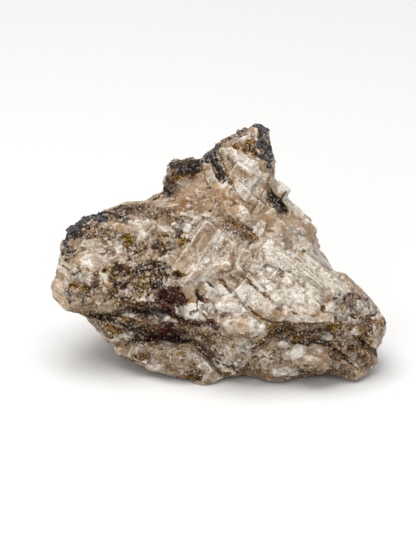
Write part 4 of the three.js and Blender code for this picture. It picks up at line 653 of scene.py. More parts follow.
def face_places(points, wander=None, share=1.0):
    """(across, up, out) in millimetres on the show face, for points in metres.

    A share of the wander pushes them about on the face, which makes borders uneven."""
    x, y, z = (points[:, i] / MM - FACE_ORIGIN[i] for i in range(3))
    sine, cosine = math.sin(FACE_LEAN), math.cos(FACE_LEAN)
    up = z * cosine + y * sine
    if wander is not None:
        x = x + wander[:, 0] * share
        up = up + wander[:, 1] * share
    return x, up, z * sine - y * cosine


def turned(across, up, angle):
    """Places along and beside a direction on the show face."""
    cosine, sine = np.cos(angle), np.sin(angle)
    return across * cosine + up * sine, up * cosine - across * sine


def smooth_step(low, high, value):
    t = np.clip((value - low) / (high - low), 0, 1)
    return t * t * (3 - 2 * t)


def backness(points):
    """1 on the back of the stone, 0 on the show face."""
    return 1 - smooth_step(*BACK_DEPTHS, face_places(points)[2])


def face_weights(points, kind, wander):
    """Strength of one kind of mineral or finish on the show face, 0 to 1."""
    total = np.zeros(len(points))
    across, up, _ = face_places(points, wander)
    for middle_x, middle_y, half_long, half_wide, turn, strength in PATCHES.get(kind, ()):
        along, aside = turned(across - middle_x, up - middle_y, math.radians(turn))
        reach = np.hypot(along / half_long, aside / half_wide)
        total = np.maximum(total, strength * (1 - smooth_step(*PATCH_BORDER, reach)))
    across, up, _ = face_places(points, wander, 0.35)
    for half, strength, *places in STROKES.get(kind, ()):
        for (x0, y0), (x1, y1) in zip(places, places[1:]):
            length_squared = (x1 - x0) ** 2 + (y1 - y0) ** 2
            t = np.clip(((across - x0) * (x1 - x0) + (up - y0) * (y1 - y0)) / length_squared, 0, 1)
            reach = np.hypot(across - x0 - t * (x1 - x0), up - y0 - t * (y1 - y0)) / half
            total = np.maximum(total, strength * (1 - smooth_step(*STROKE_BORDER, reach)))
    return total * (1 - backness(points))


def back_weights(points, kind):
    """Broad natural patches for the sides and the back, 0 to 1."""
    width, share = BACK_PATCHES[kind]
    most, softness = 0.9, 0.12
    # each kind looks at a place of its own in the noise
    shift = Vector((len(kind) * 13.7, ord(kind[0]) * 3.1, ord(kind[1]) * 1.7))
    values = np.array([
        noise.fractal(Vector(p) / (width * MM) + shift, 1.0, 2.0, 3) for p in points])
    edge = np.quantile(values, 1 - share)
    return smooth_step(edge - softness, edge + softness, values) * backness(points) * most


# ---------------------------------------------------------------- the stone


def new_object(name, mesh):
    piece = bpy.data.objects.new(name, mesh)
    bpy.context.scene.collection.objects.link(piece)
    return piece


def read(items, name, width=3, kind=np.float32):
    """One property of all items of a mesh, with a row for each where it has a width."""
    values = np.empty(len(items) * width, dtype=kind)
    items.foreach_get(name, values)
    return values.reshape(-1, width) if width > 1 else values


def held_inside(mesh, points):
    """Gives the mesh these points, those outside the solid's own box moved onto its sides."""
    points = np.clip(points, *np.array(cad_bounds))
    mesh.vertices.foreach_set("co", points.ravel().astype(np.float32))
    mesh.update()
    return points


def evened(mesh, values, rounds):
    """Values at the points, averaged with their neighbours a number of times."""
    first, second = read(mesh.edges, "vertices", 2, np.int32).T
    count = len(mesh.vertices)
    share = np.bincount(first, minlength=count) + np.bincount(second, minlength=count)
    for _ in range(rounds):
        columns = []
        for column in values.T:
            near = np.bincount(first, column[second], count)
            near += np.bincount(second, column[first], count)
            columns.append(0.4 * column + 0.6 * near / share)
        values = np.stack(columns, axis=1)
    return values


def split_pieces(places, seed, slope=1.1, step=0.45, gap=(0.04, 0.3), metric="DISTANCE"):
    """Height, two random tones and nearness to a gap, of stone split into tilted pieces.

    The places are in piece widths. Each piece tilts by up to the slope and stands out by up to
    the step, and the gap fades between those two distances from the next piece."""
    shift = Vector((seed * 3.3, seed * 7.1, seed * 1.9))
    rows = np.empty((len(places), 4))
    for index, place in enumerate(places):
        place = Vector(place) + shift
        distances, middles = noise.voronoi(place, distance_metric=metric)
        own = noise.cell_vector(middles[0] * 91.7)  # far enough apart to be unlike each other
        tilt = own * 2 - Vector((1, 1, 1))
        height = (place - middles[0]).dot(tilt) * slope + tilt.z * step
        rows[index] = height, own.x, own.y, distances[1] - distances[0]
    rows[:, 3] = 1 - smooth_step(*gap, rows[:, 3])
    return rows.T


def lath_places(points, wander, upward):
    """Places squeezed along the laths, so that pieces there come out long and narrow."""
    across, up, out = face_places(points, wander, 0.4)
    along, aside = turned(across, up, np.where(upward, FIBRES_UP_TURN, FIBRES_DOWN_TURN))
    return np.stack([along * 0.28, aside, out * 0.7], axis=1) / (sizes().lath / MM)


def block_places(points, wander):
    """Places lined up with the cleavage, so that blocks there come out nearly square."""
    across, up, out = face_places(points, wander, 0.25)
    along, aside = turned(across, up, FIBRES_DOWN_TURN)
    return np.stack([along * 0.7, aside, out * 0.8], axis=1) / (sizes().block / MM)


def copy_of_rock():
    """A joined, evenly meshed copy of the rock's solid."""
    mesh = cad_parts[ROCK].data.copy()
    mesh.materials.clear()
    form = bmesh.new()
    form.from_mesh(mesh)
    bmesh.ops.remove_doubles(form, verts=form.verts, dist=0.002 * MM)
    form.to_mesh(mesh)
    form.free()
    stone = new_object("quartz_stone", mesh)
    bpy.context.view_layer.objects.active = stone
    mesh.remesh_voxel_size = sizes().skin
    mesh.remesh_voxel_adaptivity = 0
    bpy.ops.object.voxel_remesh()
    return stone


def relief(points, wander, values):
    """How far each point is lifted: square cleavage steps, laths and fragments in the quartz,
    grains in the granular parts. The pieces' own values are added to the rest."""
    height, values["block"], _, joint = split_pieces(
        block_places(points, wander), 0, 0.5, 0.5, (0.02, 0.17), "CHEBYCHEV")
    gritty = np.maximum.reduce([values[kind] for kind in GRITTY])
    calm = 1 - 0.9 * values["smooth"]
    laths = np.maximum(values["fibres_down"], values["fibres_up"])
    # the square steps fade out in other stone, and their joints are open only in some places
    quartz = calm * (1 - 0.7 * gritty) * (1 - 0.7 * laths)
    open_here = smooth_step(-0.1, 0.35, np.array([
        noise.noise(Vector(p) / (9 * MM)) for p in points]))
    joint = joint * quartz * open_here

    rows = split_pieces((points + wander * (0.5 * MM)) / sizes().fragment, 1)
    lath_rows = split_pieces(lath_places(
        points, wander, values["fibres_up"] > values["fibres_down"]), 4)
    fragments, *own = np.where(laths > 0.3, lath_rows, rows)
    values["piece"], values["piece_kind"], values["piece_gap"] = own
    grains, *own = split_pieces(points / sizes().grain, 2)
    values["grain"], values["grain_kind"], values["grain_gap"] = own

    lift = height * sizes().block_relief * quartz * (0.4 + 0.6 * open_here)
    lift -= joint * sizes().joint_depth
    lift += (fragments - 0.8 * values["piece_gap"] * np.maximum(gritty, 0.3 * laths)) * (
        sizes().fragment_relief * ((0.4 + 0.35 * laths) * calm + 0.6 * gritty))
    lift += (grains - 0.5 * values["grain_gap"]) * sizes().grain_relief * (
        0.12 * calm * (1 - laths) + 0.88 * gritty)
    lift -= values["umber_and_shadow"] * sizes().fissure_depth
    lift -= values["limonite"] * sizes().fissure_depth * 0.5
    return lift


def build_stone():
    noise.seed_set(sizes().seed)
    stone = copy_of_rock()
    mesh = stone.data
    points = read(mesh.vertices, "co").astype(float)
    normals = read(mesh.vertex_normals, "vector").astype(float)
    wander = np.array([noise.turbulence_vector(Vector(p) / (3 * MM), 2, False) for p in points])
    wander = (wander - wander.mean(axis=0)) * 0.9
    values = {
        kind: np.maximum(face_weights(points, kind, wander), back_weights(points, kind))
        for kinds in LAYERS.values() for kind in kinds}
    for kind in ("umber_and_shadow", "gold"):
        values[kind] = face_weights(points, kind, wander)
    lift = relief(points, wander, values)

    # the coarse form is worn a little and its crevices are half filled, down to the flat base
    above_base = smooth_step(0.3 * MM, 2 * MM, points[:, 2])[:, None]
    worn = (evened(mesh, points, WEAR_ROUNDS) - points) * WEAR
    hollow = ((evened(mesh, points, FAR_ROUNDS) - points) * normals).sum(axis=1)
    filled = np.maximum(hollow - SILTED_DEPTH, 0) * SILTED
    moved = points + (worn + normals * (lift + filled)[:, None]) * above_base
    moved = held_inside(mesh, moved)

    # how deep each point lies below the surface around it, near and far, and which look down, for the
    # painted shade in hollows and under the stone and the painted highlights on crests
    normals = read(mesh.vertex_normals, "vector").astype(float)
    for kind, rounds, depth in (("near", NEAR_ROUNDS, NEAR_DEPTH), ("far", FAR_ROUNDS, FAR_DEPTH)):
        values[kind] = ((evened(mesh, moved, rounds) - moved) * normals).sum(axis=1) / depth
    for kind in KEPT["depths"]:
        values[kind] = np.clip(values[kind] * 0.5 + 0.5, 0, 1)
    # painted shade: the more a part of the surface looks down, the more brown film is laid on it
    values["shaded_underside"] = smooth_step(0.1, 0.75, -evened(mesh, normals, 30)[:, 2])

    for name, kinds in KEPT.items():
        attribute = mesh.attributes.new(name, "FLOAT_COLOR", "POINT")
        rows = np.stack([*(values[kind] for kind in kinds), np.ones(len(points))], axis=1)
        attribute.data.foreach_set("color", rows.ravel().astype(np.float32))
    thin_back(stone, backness(moved))
    mesh = stone.data
    held_inside(mesh, read(mesh.vertices, "co").astype(float))
    mesh.shade_smooth()
    mesh.materials.append(quartz_rock_material())
    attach(stone, "root")
    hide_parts(ROCK)


def thin_back(stone, share):
    """Takes points out of the mesh until it is light enough, most of them on the back."""
    triangles = sum(len(face.vertices) - 2 for face in stone.data.polygons)
    group = stone.vertex_groups.new(name="back")
    for index, weight in enumerate(share):
        group.add([index], 0.15 + 0.85 * weight, "REPLACE")
    thinning = stone.modifiers.new("thinning", "DECIMATE")
    thinning.ratio = MOST_TRIANGLES / triangles
    thinning.vertex_group = group.name
    thinning.vertex_group_factor = 2
    bpy.ops.object.modifier_apply(modifier=thinning.name)
    stone.vertex_groups.clear()


# ---------------------------------------------------------------- grains grown on the stone


def stone_spots():
    """Middles, directions, areas and mineral strengths of the stone's faces."""
    mesh = bpy.data.objects["quartz_stone"].data
    faces = mesh.polygons
    corner = read(mesh.loops, "vertex_index", 1, np.int32)[read(faces, "loop_start", 1, np.int32)]
    strengths = {}
    for name, kinds in LAYERS.items():
        values = read(mesh.attributes[name].data, "color", 4)[corner]
        strengths.update({kind: values[:, i] for i, kind in enumerate(kinds)})
    return read(faces, "center"), read(faces, "normal"), read(faces, "area", 1), strengths


def grow_grains(name, material, count, likely, shape, widths, sunk, lean, seed):
    """Scatters small crystals over the stone where they are likely and joins them in one mesh.

    The shape is three parts of a grain's width. Each is sunk by a part of its width and leans
    by up to some radians."""
    middles, directions, areas, strengths = stone_spots()
    low, high = np.array(cad_bounds)
    room = widths[1] * 0.9  # keeps the largest grain inside the solid's box
    inside = np.all((middles > low + room) & (middles < high - room), axis=1)
    chance = areas * likely(strengths) * inside
    dice = np.random.RandomState(seed)
    chosen = dice.choice(len(chance), count, p=chance / chance.sum())
    batch_size = 200  # cubes made at a time, since each one slows the next
    mesh = bpy.data.meshes.new(name)
    whole = bmesh.new()
    batch = bmesh.new()
    for order, index in enumerate(chosen, 1):
        facing = Vector(directions[index]).to_track_quat("Z", "Y").to_matrix().to_4x4()
        spin = Euler(dice.uniform(-lean, lean, 2).tolist() + [dice.uniform(0, math.tau)])
        width = widths[0] + (widths[1] - widths[0]) * dice.uniform() ** 2
        scale = Matrix.Diagonal((*(np.array(shape) * dice.uniform(0.7, 1.2, 3) * width), 1))
        place = Vector(middles[index] - directions[index] * width * sunk)
        matrix = Matrix.Translation(place) @ facing @ spin.to_matrix().to_4x4() @ scale
        cube = bmesh.ops.create_cube(batch, size=1, matrix=matrix)
        for corner in cube["verts"]:
            corner.co += Vector(dice.uniform(-0.16, 0.16, 3) * width)
        if order % batch_size == 0 or order == count:
            made = bpy.data.meshes.new("made")
            batch.to_mesh(made)
            batch.clear()
            whole.from_mesh(made)
            bpy.data.meshes.remove(made)
    batch.free()
    bmesh.ops.recalc_face_normals(whole, faces=whole.faces)
    whole.to_mesh(mesh)
    whole.free()
    mesh.materials.append(material)
    grains = new_object(name, mesh)
    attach(grains, "root")


# ---------------------------------------------------------------- materials


def fill(tree, node, inputs):
    """Gives a node's inputs values, or sockets to link from."""
    for name, value in inputs.items():
        if isinstance(value, bpy.types.NodeSocket):
            tree.links.new(value, node.inputs[name])
        else:
            node.inputs[name].default_value = value


def add(tree, kind, settings=None, inputs=None):
    """Adds a node with its settings and its inputs."""
    node = tree.nodes.new(kind)
    for name, value in (settings or {}).items():
        setattr(node, name, value)
    fill(tree, node, inputs or {})
    return node


def new_material(name):
    """A node material and its shader."""
    material = bpy.data.materials.new(name)
    material.use_nodes = True
    tree = material.node_tree
    tree.nodes.clear()
    shader = add(tree, "ShaderNodeBsdfPrincipled")
    add(tree, "ShaderNodeOutputMaterial", inputs={"Surface": shader.outputs["BSDF"]})
    return material, tree, shader


def ramp(tree, factor, tones):
    """Colours along a factor."""
    node = add(tree, "ShaderNodeValToRGB", inputs={"Fac": factor})
    elements = node.color_ramp.elements
    while len(elements) < len(TONES[tones]):
        elements.new(0.5)
    for element, (place, code) in zip(elements, TONES[tones]):
        element.position = place
        element.color = linear(code)
    return node.outputs["Color"]


def calculate(tree, operation, first, second=0.0, third=0.0):
    return add(tree, "ShaderNodeMath", {"operation": operation},
               {0: first, 1: second, 2: third}).outputs[0]


def times(tree, first, second):
    return calculate(tree, "MULTIPLY", first, second)


def larger(tree, first, second):
    return calculate(tree, "MAXIMUM", first, second)


def part(tree, value, share, rest):
    """A share of the value, added to the rest."""
    return calculate(tree, "MULTIPLY_ADD", value, share, rest)


def blend(tree, factor, below, above, mode="MIX"):
    """A colour over another by a factor; the one above is a socket or a colour for linear()."""
    if isinstance(above, str):
        above = linear(above)
    return add(tree, "ShaderNodeMix", {"data_type": "RGBA", "blend_type": mode},
               {0: factor, 6: below, 7: above}).outputs[2]


def stretch(tree, value, low, high, floor=0.0, top=1.0):
    """Value from low to high turned into floor to top, smoothly and held at the ends."""
    return add(tree, "ShaderNodeMapRange", {"interpolation_type": "SMOOTHSTEP"}, {
        "Value": value, "From Min": low, "From Max": high, "To Min": floor,
        "To Max": top}).outputs["Result"]


def lay(tree, where, kind, strength, uneven, below, above, limit=None):
    """A colour with a coat laid over it, only within the limit where there is one.

    The coat's patches are broken up by a pattern and given a fairly crisp edge. Where they lie
    is kept for the layers to come."""
    amount, softness, edge, cover = COATS[kind]
    shifted = part(tree, calculate(tree, "SUBTRACT", uneven, 0.5), amount, strength)
    where[kind] = times(tree, stretch(tree, shifted, edge - softness, edge + softness),
                        stretch(tree, strength, 0.0, 0.15))
    if limit is not None:
        where[kind] = times(tree, limit, where[kind])
    return blend(tree, times(tree, where[kind], cover), below, above)


def clouds(tree, place, width, detail, distortion=0.0):
    """Soft uneven pattern of a width in metres."""
    return add(tree, "ShaderNodeTexNoise", inputs={
        "Vector": place, "Scale": 1 / width, "Detail": detail,
        "Distortion": distortion}).outputs["Fac"]


def cells(tree, place, width, metric="EUCLIDEAN"):
    """Cells of a width in metres: the node, and three random values of each cell."""
    node = add(tree, "ShaderNodeTexVoronoi", {"distance": metric}, {
        "Vector": place, "Scale": 1 / width})
    own = add(tree, "ShaderNodeSeparateColor", inputs={"Color": node.outputs["Color"]})
    return node, own.outputs


def mapped(tree, place, **inputs):
    """Places turned or scaled."""
    return add(tree, "ShaderNodeMapping", inputs={"Vector": place, **inputs}).outputs[0]


def patterns(tree):
    """The patterns that the rock's minerals share, each at its own size in millimetres."""
    place = add(tree, "ShaderNodeTexCoord").outputs["Object"]
    leaning = mapped(tree, place, Rotation=(FACE_LEAN - math.pi / 2, 0, 0))

    def streaks(turn):
        along = mapped(tree, leaning, Rotation=(0, 0, -turn))
        return clouds(tree, mapped(tree, along, Scale=(0.1, 1, 0.5)), 0.8 * MM, 3), along

    down, turned_down = streaks(FIBRES_DOWN_TURN)
    up, _ = streaks(FIBRES_UP_TURN)
    warp = add(tree, "ShaderNodeTexNoise", inputs={
        "Vector": place, "Scale": 1 / (2 * MM), "Detail": 2}).outputs["Color"]
    warped = add(tree, "ShaderNodeVectorMath", {"operation": "MULTIPLY_ADD"}, {
        0: warp, 1: (1.2 * MM,) * 3, 2: place}).outputs[0]
    steps, step_own = cells(tree, turned_down, STEP, "CHEBYCHEV")
    crack = add(tree, "ShaderNodeTexVoronoi", {"feature": "DISTANCE_TO_EDGE"}, {
        "Vector": warped, "Scale": 1 / (3.4 * MM)}).outputs["Distance"]
    speck, speck_own = cells(tree, place, SPECK)
    return {
        "place": place,
        "turned": turned_down,
        "broad": clouds(tree, place, 11 * MM, 3),
        "middle": clouds(tree, place, 3 * MM, 4, 0.5),
        "veil": clouds(tree, place, 1.7 * MM, 5, 1.4),
        "fine": clouds(tree, place, 0.8 * MM, 4, 0.3),
        "dust": clouds(tree, place, 0.35 * MM, 2),
        "steps": steps, "step_own": step_own,
        "speck": speck, "speck_own": speck_own,
        "crack": crack,
        "down": down,
        "up": up,
    }


def kept_values(tree):
    """The strengths and depths kept on the mesh, by name."""
    found = {}
    for name, kinds in KEPT.items():
        values = add(tree, "ShaderNodeAttribute", {"attribute_name": name}).outputs["Color"]
        split = add(tree, "ShaderNodeSeparateColor", inputs={"Color": values})
        found.update({kind: split.outputs[i] for i, kind in enumerate(kinds)})
    found["umber_and_shadow"] = part(tree, found["umber_and_shadow"], 2.0, -1.0)
    return found


def tilted_planes(tree, cell, place, width):
    """Height of little planes, each tilted its own way, for a glittering broken surface."""
    offset = add(tree, "ShaderNodeVectorMath", {"operation": "SUBTRACT"}, {
        0: place, 1: cell.outputs["Position"]}).outputs[0]
    tilt = add(tree, "ShaderNodeVectorMath", {"operation": "SUBTRACT"}, {
        0: cell.outputs["Color"], 1: (0.5, 0.5, 0.5)}).outputs[0]
    slope = add(tree, "ShaderNodeVectorMath", {"operation": "DOT_PRODUCT"}, {
        0: offset, 1: tilt}).outputs["Value"]
    return times(tree, slope, 1 / width)


def quartz_colour(tree, rock, where):
    """Beige quartz with peach stains, clearer grey parts and white fresh breaks."""
    tone = part(tree, rock["block"], 0.22, -0.42)
    for pattern, share in (("broad", 0.45), ("middle", 0.5), ("veil", 0.4), ("fine", 0.2)):
        tone = part(tree, rock[pattern], share, tone)
    colour = ramp(tree, tone, "body")
    colour = lay(tree, where, "peach", rock["peach"], rock["middle"], colour, "peach")
    by_piece = rock["by_piece"]
    clear = ramp(tree, rock["veil"], "clear")
    colour = lay(tree, where, "grey", rock["grey"], by_piece, colour, clear)
    milky = ramp(tree, rock["veil"], "milky")
    colour = blend(tree, stretch(tree, rock["white"], 0.1, 0.5, 0.0, 0.65), colour, milky)
    fresh = part(tree, rock["fine"], 0.5, times(tree, rock["veil"], 0.5))
    return lay(tree, where, "white", rock["white"], by_piece, colour, ramp(tree, fresh, "fresh"))


def crystal_marks(tree, rock, colour):
    """Each crystal's own tone, partly painted facet shading, pale edges with painted sparkle, seams,
    streaks and cracks that tell one crystal from the next.
    """
    rough = part(tree, rock["smooth"], -0.7, 1.0)
    # painted facet shading: each crystal and cleavage face darkened by its own amount, partly its own
    # tone and partly standing in for how its facet is turned to the light
    tone_and_facet_shade = part(tree, rock["step_own"][1], 0.4, times(tree, rock["piece"], 0.6))
    colour = blend(tree, times(tree, rough, 0.55), colour,
                   ramp(tree, tone_and_facet_shade, "crystal"), "MULTIPLY")

    # white flecks and pale crystal edges, partly painted sparkle, and ochre seams between clean
    # crystals
    fleck_and_sparkle = times(tree, stretch(tree, rock["dust"], 0.55, 0.63),
                  stretch(tree, rock["middle"], 0.45, 0.65, 0.0, 0.6))
    laths = larger(tree, rock["fibres_down"], rock["fibres_up"])
    clean = larger(tree, rock["white"], laths)
    edges = times(tree, stretch(tree, rock["piece_gap"], 0.1, 0.5), 0.55)
    fleck_and_sparkle = larger(tree, fleck_and_sparkle, times(tree, edges, clean))
    colour = blend(tree, fleck_and_sparkle, colour, "#F8F3E9")
    seams = times(tree, stretch(tree, rock["piece_gap"], 0.75, 1.0), clean)
    seams = times(tree, seams, stretch(tree, rock["middle"], 0.42, 0.56))
    colour = blend(tree, times(tree, seams, 0.6), colour, "#9A7A42")

    for kind, streak in STREAKS.items():
        lines = ramp(tree, rock[streak], "streak")
        colour = blend(tree, times(tree, rock[kind], 0.45), colour, lines, "MULTIPLY")

    # hairline cracks, stained brown here and there
    crack = times(tree, stretch(tree, rock["crack"], 0.045, 0.01), rough)
    crack = times(tree, crack, stretch(tree, rock["middle"], 0.46, 0.6))
    return blend(tree, times(tree, crack, 0.6), colour, "#7A5630")


def granular_parts(tree, rock, where, colour):
    """Angular fragments, pale to dark brown, with dark grains between them."""
    clast = part(tree, rock["fine"], 0.5, part(tree, rock["piece"], 0.95, -0.5))
    clast = ramp(tree, clast, "clast")
    grit = part(tree, rock["dust"], 0.4, part(tree, rock["grain"], 0.95, -0.26))
    grit = ramp(tree, grit, "grit")
    small = part(tree, rock["speckled"], 0.7, times(tree, rock["piece_kind"], -1.0))
    mixed = blend(tree, stretch(tree, small, -0.1, 0.1), clast, grit)
    colour = lay(tree, where, "speckled", rock["speckled"], rock["by_piece"], colour, mixed,
                 where["off_white"])
    between = times(tree, rock["piece_gap"], stretch(tree, rock["speckled"], 0.1, 0.6))
    between = times(tree, between, stretch(tree, rock["middle"], 0.4, 0.58))
    return blend(tree, times(tree, between, 0.45), colour, "#3A230D")


def iron_oxides(tree, rock, where, colour):
    """Brown film, rust, black hematite, ochre limonite, earth, golden film and red hematite."""
    # Brown film with painted shade where the stone looks down, rust, black hematite, ochre limonite,
    # earth with painted shadow in the crevices, golden film and red hematite.
    brown = larger(tree, rock["brown"], times(tree, rock["shaded_underside"], 0.75))
    colour = lay(tree, where, "brown", brown, rock["middle"], colour,
                 ramp(tree, rock["fine"], "weathered"), where["off_white"])
    colour = lay(tree, where, "rust", rock["rust"], rock["fine"], colour,
                 ramp(tree, rock["dust"], "rust"))

    # hematite: black with a steely glint and light grains in it
    steel = part(tree, rock["grain"], 0.6, times(tree, rock["fine"], 0.7))
    by_kind = part(tree, rock["grain_kind"], 0.3, times(tree, rock["fine"], 0.7))
    colour = lay(tree, where, "hematite", rock["hematite"], by_kind, colour,
                 ramp(tree, steel, "steel"))

    # limonite: granular ochre pockets with a dark brown halo
    colour = lay(tree, where, "halo", rock["limonite"], rock["fine"], colour, "#402813")
    by_kind = part(tree, rock["grain_kind"], 0.4, times(tree, rock["fine"], 0.6))
    ochre = part(tree, rock["grain"], 0.35,
                 part(tree, rock["fine"], 0.55, times(tree, rock["dust"], 0.45)))
    colour = lay(tree, where, "limonite", rock["limonite"], by_kind, colour,
                 ramp(tree, ochre, "ochre"))

    # dark earth in the fissures and painted shadow in the crevices, lighter where it is thin
    by_grain = part(tree, rock["grain"], 0.4, times(tree, rock["fine"], 0.6))
    thin = part(tree, rock["umber_and_shadow"], -0.8, calculate(tree, "ADD", ochre, 0.66))
    colour = lay(tree, where, "umber_and_shadow", rock["umber_and_shadow"], by_grain, colour, ramp(tree, thin, "soil"))

    # golden film along some cracks, dark red earthy hematite elsewhere
    colour = lay(tree, where, "gold", rock["gold"], rock["fine"], colour, "#9E7636")
    red = part(tree, rock["grain"], 0.45, times(tree, rock["fine"], 0.7))
    return lay(tree, where, "maroon", rock["maroon"], rock["fine"], colour,
               ramp(tree, red, "red_earth"))


def painted_light_and_specks(tree, rock, where, colour):
    """Painted shade in hollows, painted highlights on crests, salt and pepper in the dark parts, and
    painted glints.
    """
    # painted shade: the colour darkened to brown in small hollows and in broad hollows, where shade
    # falls
    painted_pit_shade = stretch(tree, rock["near"], 0.6, 0.95, 0.0, 0.55)
    colour = blend(tree, painted_pit_shade, colour, "#7A5A3A", "MULTIPLY")
    gap = stretch(tree, rock["far"], 0.6, 1.0, 0.0, 0.5)
    colour = blend(tree, gap, colour, "#8A6E50", "MULTIPLY")
    # painted highlight: the crests and edges of the clear quartz lightened
    painted_crest_highlight = stretch(tree, calculate(tree, "SUBTRACT", 1.0, rock["near"]), 0.6, 0.9, 0.0, 0.4)
    colour = blend(tree, times(tree, painted_crest_highlight, where["clear"]), colour, "#FFFBF2", "SCREEN")

    # salt and pepper, with little salt in the earthy parts
    tone = rock["speck_own"][0]
    pepper = times(tree, stretch(tree, tone, 0.24, 0.22), where["dark"])
    colour = blend(tree, times(tree, pepper, 0.7), colour, "#2E2013", "MULTIPLY")
    earthy = larger(tree, times(tree, where["maroon"], 0.7), times(tree, where["umber_and_shadow"], 0.2))
    salty = times(tree, where["dark"], calculate(tree, "SUBTRACT", 1.0, earthy))
    salt = times(tree, stretch(tree, tone, 0.86, 0.88), salty)
    drift = calculate(tree, "ADD", rock["middle"], times(tree, rock["veil"], 0.5))
    salt = times(tree, salt, stretch(tree, drift, 0.65, 0.82, 0.0, 0.75))
    colour = blend(tree, salt, colour, "#D8D1C6")

    # painted glints: tiny white specks where facets would catch the light, thickest on fresh breaks
    painted_glint = stretch(tree, rock["speck_own"][1], 0.92, 0.94)
    painted_glint = times(tree, painted_glint, part(
        tree, where["white"], 0.3, stretch(tree, rock["middle"], 0.47, 0.64, 0.0, 0.5)))
    painted_glint = times(tree, painted_glint, part(tree, where["umber_and_shadow"], -0.4, 1.0))
    return blend(tree, painted_glint, colour, "#FFFFFF")


def fine_relief(tree, rock):
    """Normals of what is finer than the mesh: specks, cleavage faces, grit and streaks."""
    height = times(tree, tilted_planes(tree, rock["speck"], rock["place"], 0.6 * MM), 0.3)
    height = part(tree, tilted_planes(tree, rock["steps"], rock["turned"], STEP), 0.9, height)
    height = part(tree, rock["fine"], 0.3, height)
    for kind, streak in STREAKS.items():
        height = part(tree, times(tree, rock[streak], rock[kind]), 0.7, height)
    return add(tree, "ShaderNodeBump", inputs={
        "Strength": 0.75, "Distance": 0.3 * MM, "Height": height}).outputs["Normal"]


def quartz_rock_material():
    """Massive vein quartz, broken by hand: milky to beige and slightly see-into, with flat glassy
    cleavages, salt-and-pepper granular parts, black steely hematite and earthy iron oxides."""
    material, tree, shader = new_material("vein_quartz_with_hematite")
    rock = {**patterns(tree), **kept_values(tree)}
    rock["by_piece"] = part(tree, rock["piece"], 0.55, times(tree, rock["fine"], 0.45))
    where = {}
    colour = quartz_colour(tree, rock, where)
    colour = crystal_marks(tree, rock, colour)
    where["off_white"] = part(tree, where["white"], -0.8, 1.0)
    colour = granular_parts(tree, rock, where, colour)
    colour = iron_oxides(tree, rock, where, colour)
    dull = larger(tree, where["umber_and_shadow"], where["brown"])
    where["dark"] = larger(
        tree, larger(tree, where["speckled"], where["hematite"]),
        larger(tree, dull, larger(tree, where["maroon"], where["halo"])))
    where["clear"] = part(tree, where["dark"], -0.8, 1.0)
    colour = painted_light_and_specks(tree, rock, where, colour)

    # deepens the dark minerals a little and leaves the pale quartz nearly as it is
    deeper = add(tree, "ShaderNodeGamma", inputs={"Color": colour, "Gamma": 1.07})

    # glassy facets here and there, duller earth, steely hematite
    gloss = part(tree, rock["step_own"][2], 0.3, 0.12)
    fill(tree, shader, {
        "Base Color": deeper.outputs["Color"],
        "Roughness": larger(tree, gloss, times(tree, dull, 0.6)),
        "Metallic": times(tree, where["hematite"], 0.3),
        "Specular IOR Level": times(tree, where["clear"], 0.5),
        "Coat Weight": times(tree, where["clear"], 0.45),
        "Coat Roughness": 0.06,
        "IOR": 1.54,
        "Subsurface Weight": 0.25,
        "Subsurface Radius": (1.0, 0.75, 0.5),
        "Subsurface Scale": 1.0 * MM,
        "Normal": fine_relief(tree, rock),
    })
    return material


def grain_material(name, tones, roughness, metallic, width):
    """Small dusty crystals. Cells of this width in metres, wider than the stone, pick their one
    tone from the ramp."""
    material, tree, shader = new_material(name)
    place = add(tree, "ShaderNodeTexCoord").outputs["Object"]
    _, own = cells(tree, place, width)
    dust = clouds(tree, place, 0.4 * MM, 3)
    bump = add(tree, "ShaderNodeBump", inputs={
        "Strength": 0.3, "Distance": 0.1 * MM, "Height": dust})
    fill(tree, shader, {
        "Base Color": ramp(tree, own[0], tones),
        "Roughness": part(tree, dust, 0.4, roughness),
        "Metallic": metallic,
        "Normal": bump.outputs["Normal"],
    })
    return material


def floor_material():
    """Matt pale paper: even, with no gloss."""
    material, tree, shader = new_material("matt_white_paper")
    place = add(tree, "ShaderNodeTexCoord").outputs["Object"]
    fill(tree, shader, {
        "Base Color": ramp(tree, clouds(tree, place, 2 * MM, 2), "paper"),
        "Roughness": 0.95,
        "Specular IOR Level": 0.1,
    })
    return material


# ---------------------------------------------------------------- operators


class SPECIMEN_OT_stone(bpy.types.Operator):
    """Make the broken stone with its minerals"""

    bl_idname = "specimen.stone"
    bl_label = "Stone"

    def execute(self, context):
        build_stone()
        return {"FINISHED"}


class SPECIMEN_OT_hematite_grains(bpy.types.Operator):
    """Grow black hematite grains on the dark crusts"""

    bl_idname = "specimen.hematite_grains"
    bl_label = "Hematite Grains"

    def execute(self, context):
        # black and steely, so that the crusts glint
        material = grain_material("granular_hematite", "hematite_grain", 0.25, 0.4, 0.7)
        grow_grains(
            "hematite_grains", material, count=2200, likely=lambda s: s["hematite"] ** 3,
            shape=(0.9, 0.8, 0.7), widths=(0.4 * MM, 0.95 * MM), sunk=0.15, lean=1.2,
            seed=sizes().seed)
        return {"FINISHED"}


class SPECIMEN_OT_quartz_grains(bpy.types.Operator):
    """Grow small glassy quartz grains in the granular parts"""

    bl_idname = "specimen.quartz_grains"
    bl_label = "Quartz Grains"

    def execute(self, context):
        # glassy crumbs that break up the granular parts
        material = grain_material("sugary_quartz", "quartz_grain", 0.15, 0.0, 0.9)
        grow_grains(
            "quartz_grains", material, count=1300,
            likely=lambda s: 0.5 * s["speckled"] ** 2 + 0.15 * s["hematite"] ** 2
            + 0.15 * s["white"],
            shape=(1.3, 0.8, 0.6), widths=(0.35 * MM, 1.3 * MM), sunk=0.35, lean=1.0,
            seed=sizes().seed + 1)
        return {"FINISHED"}


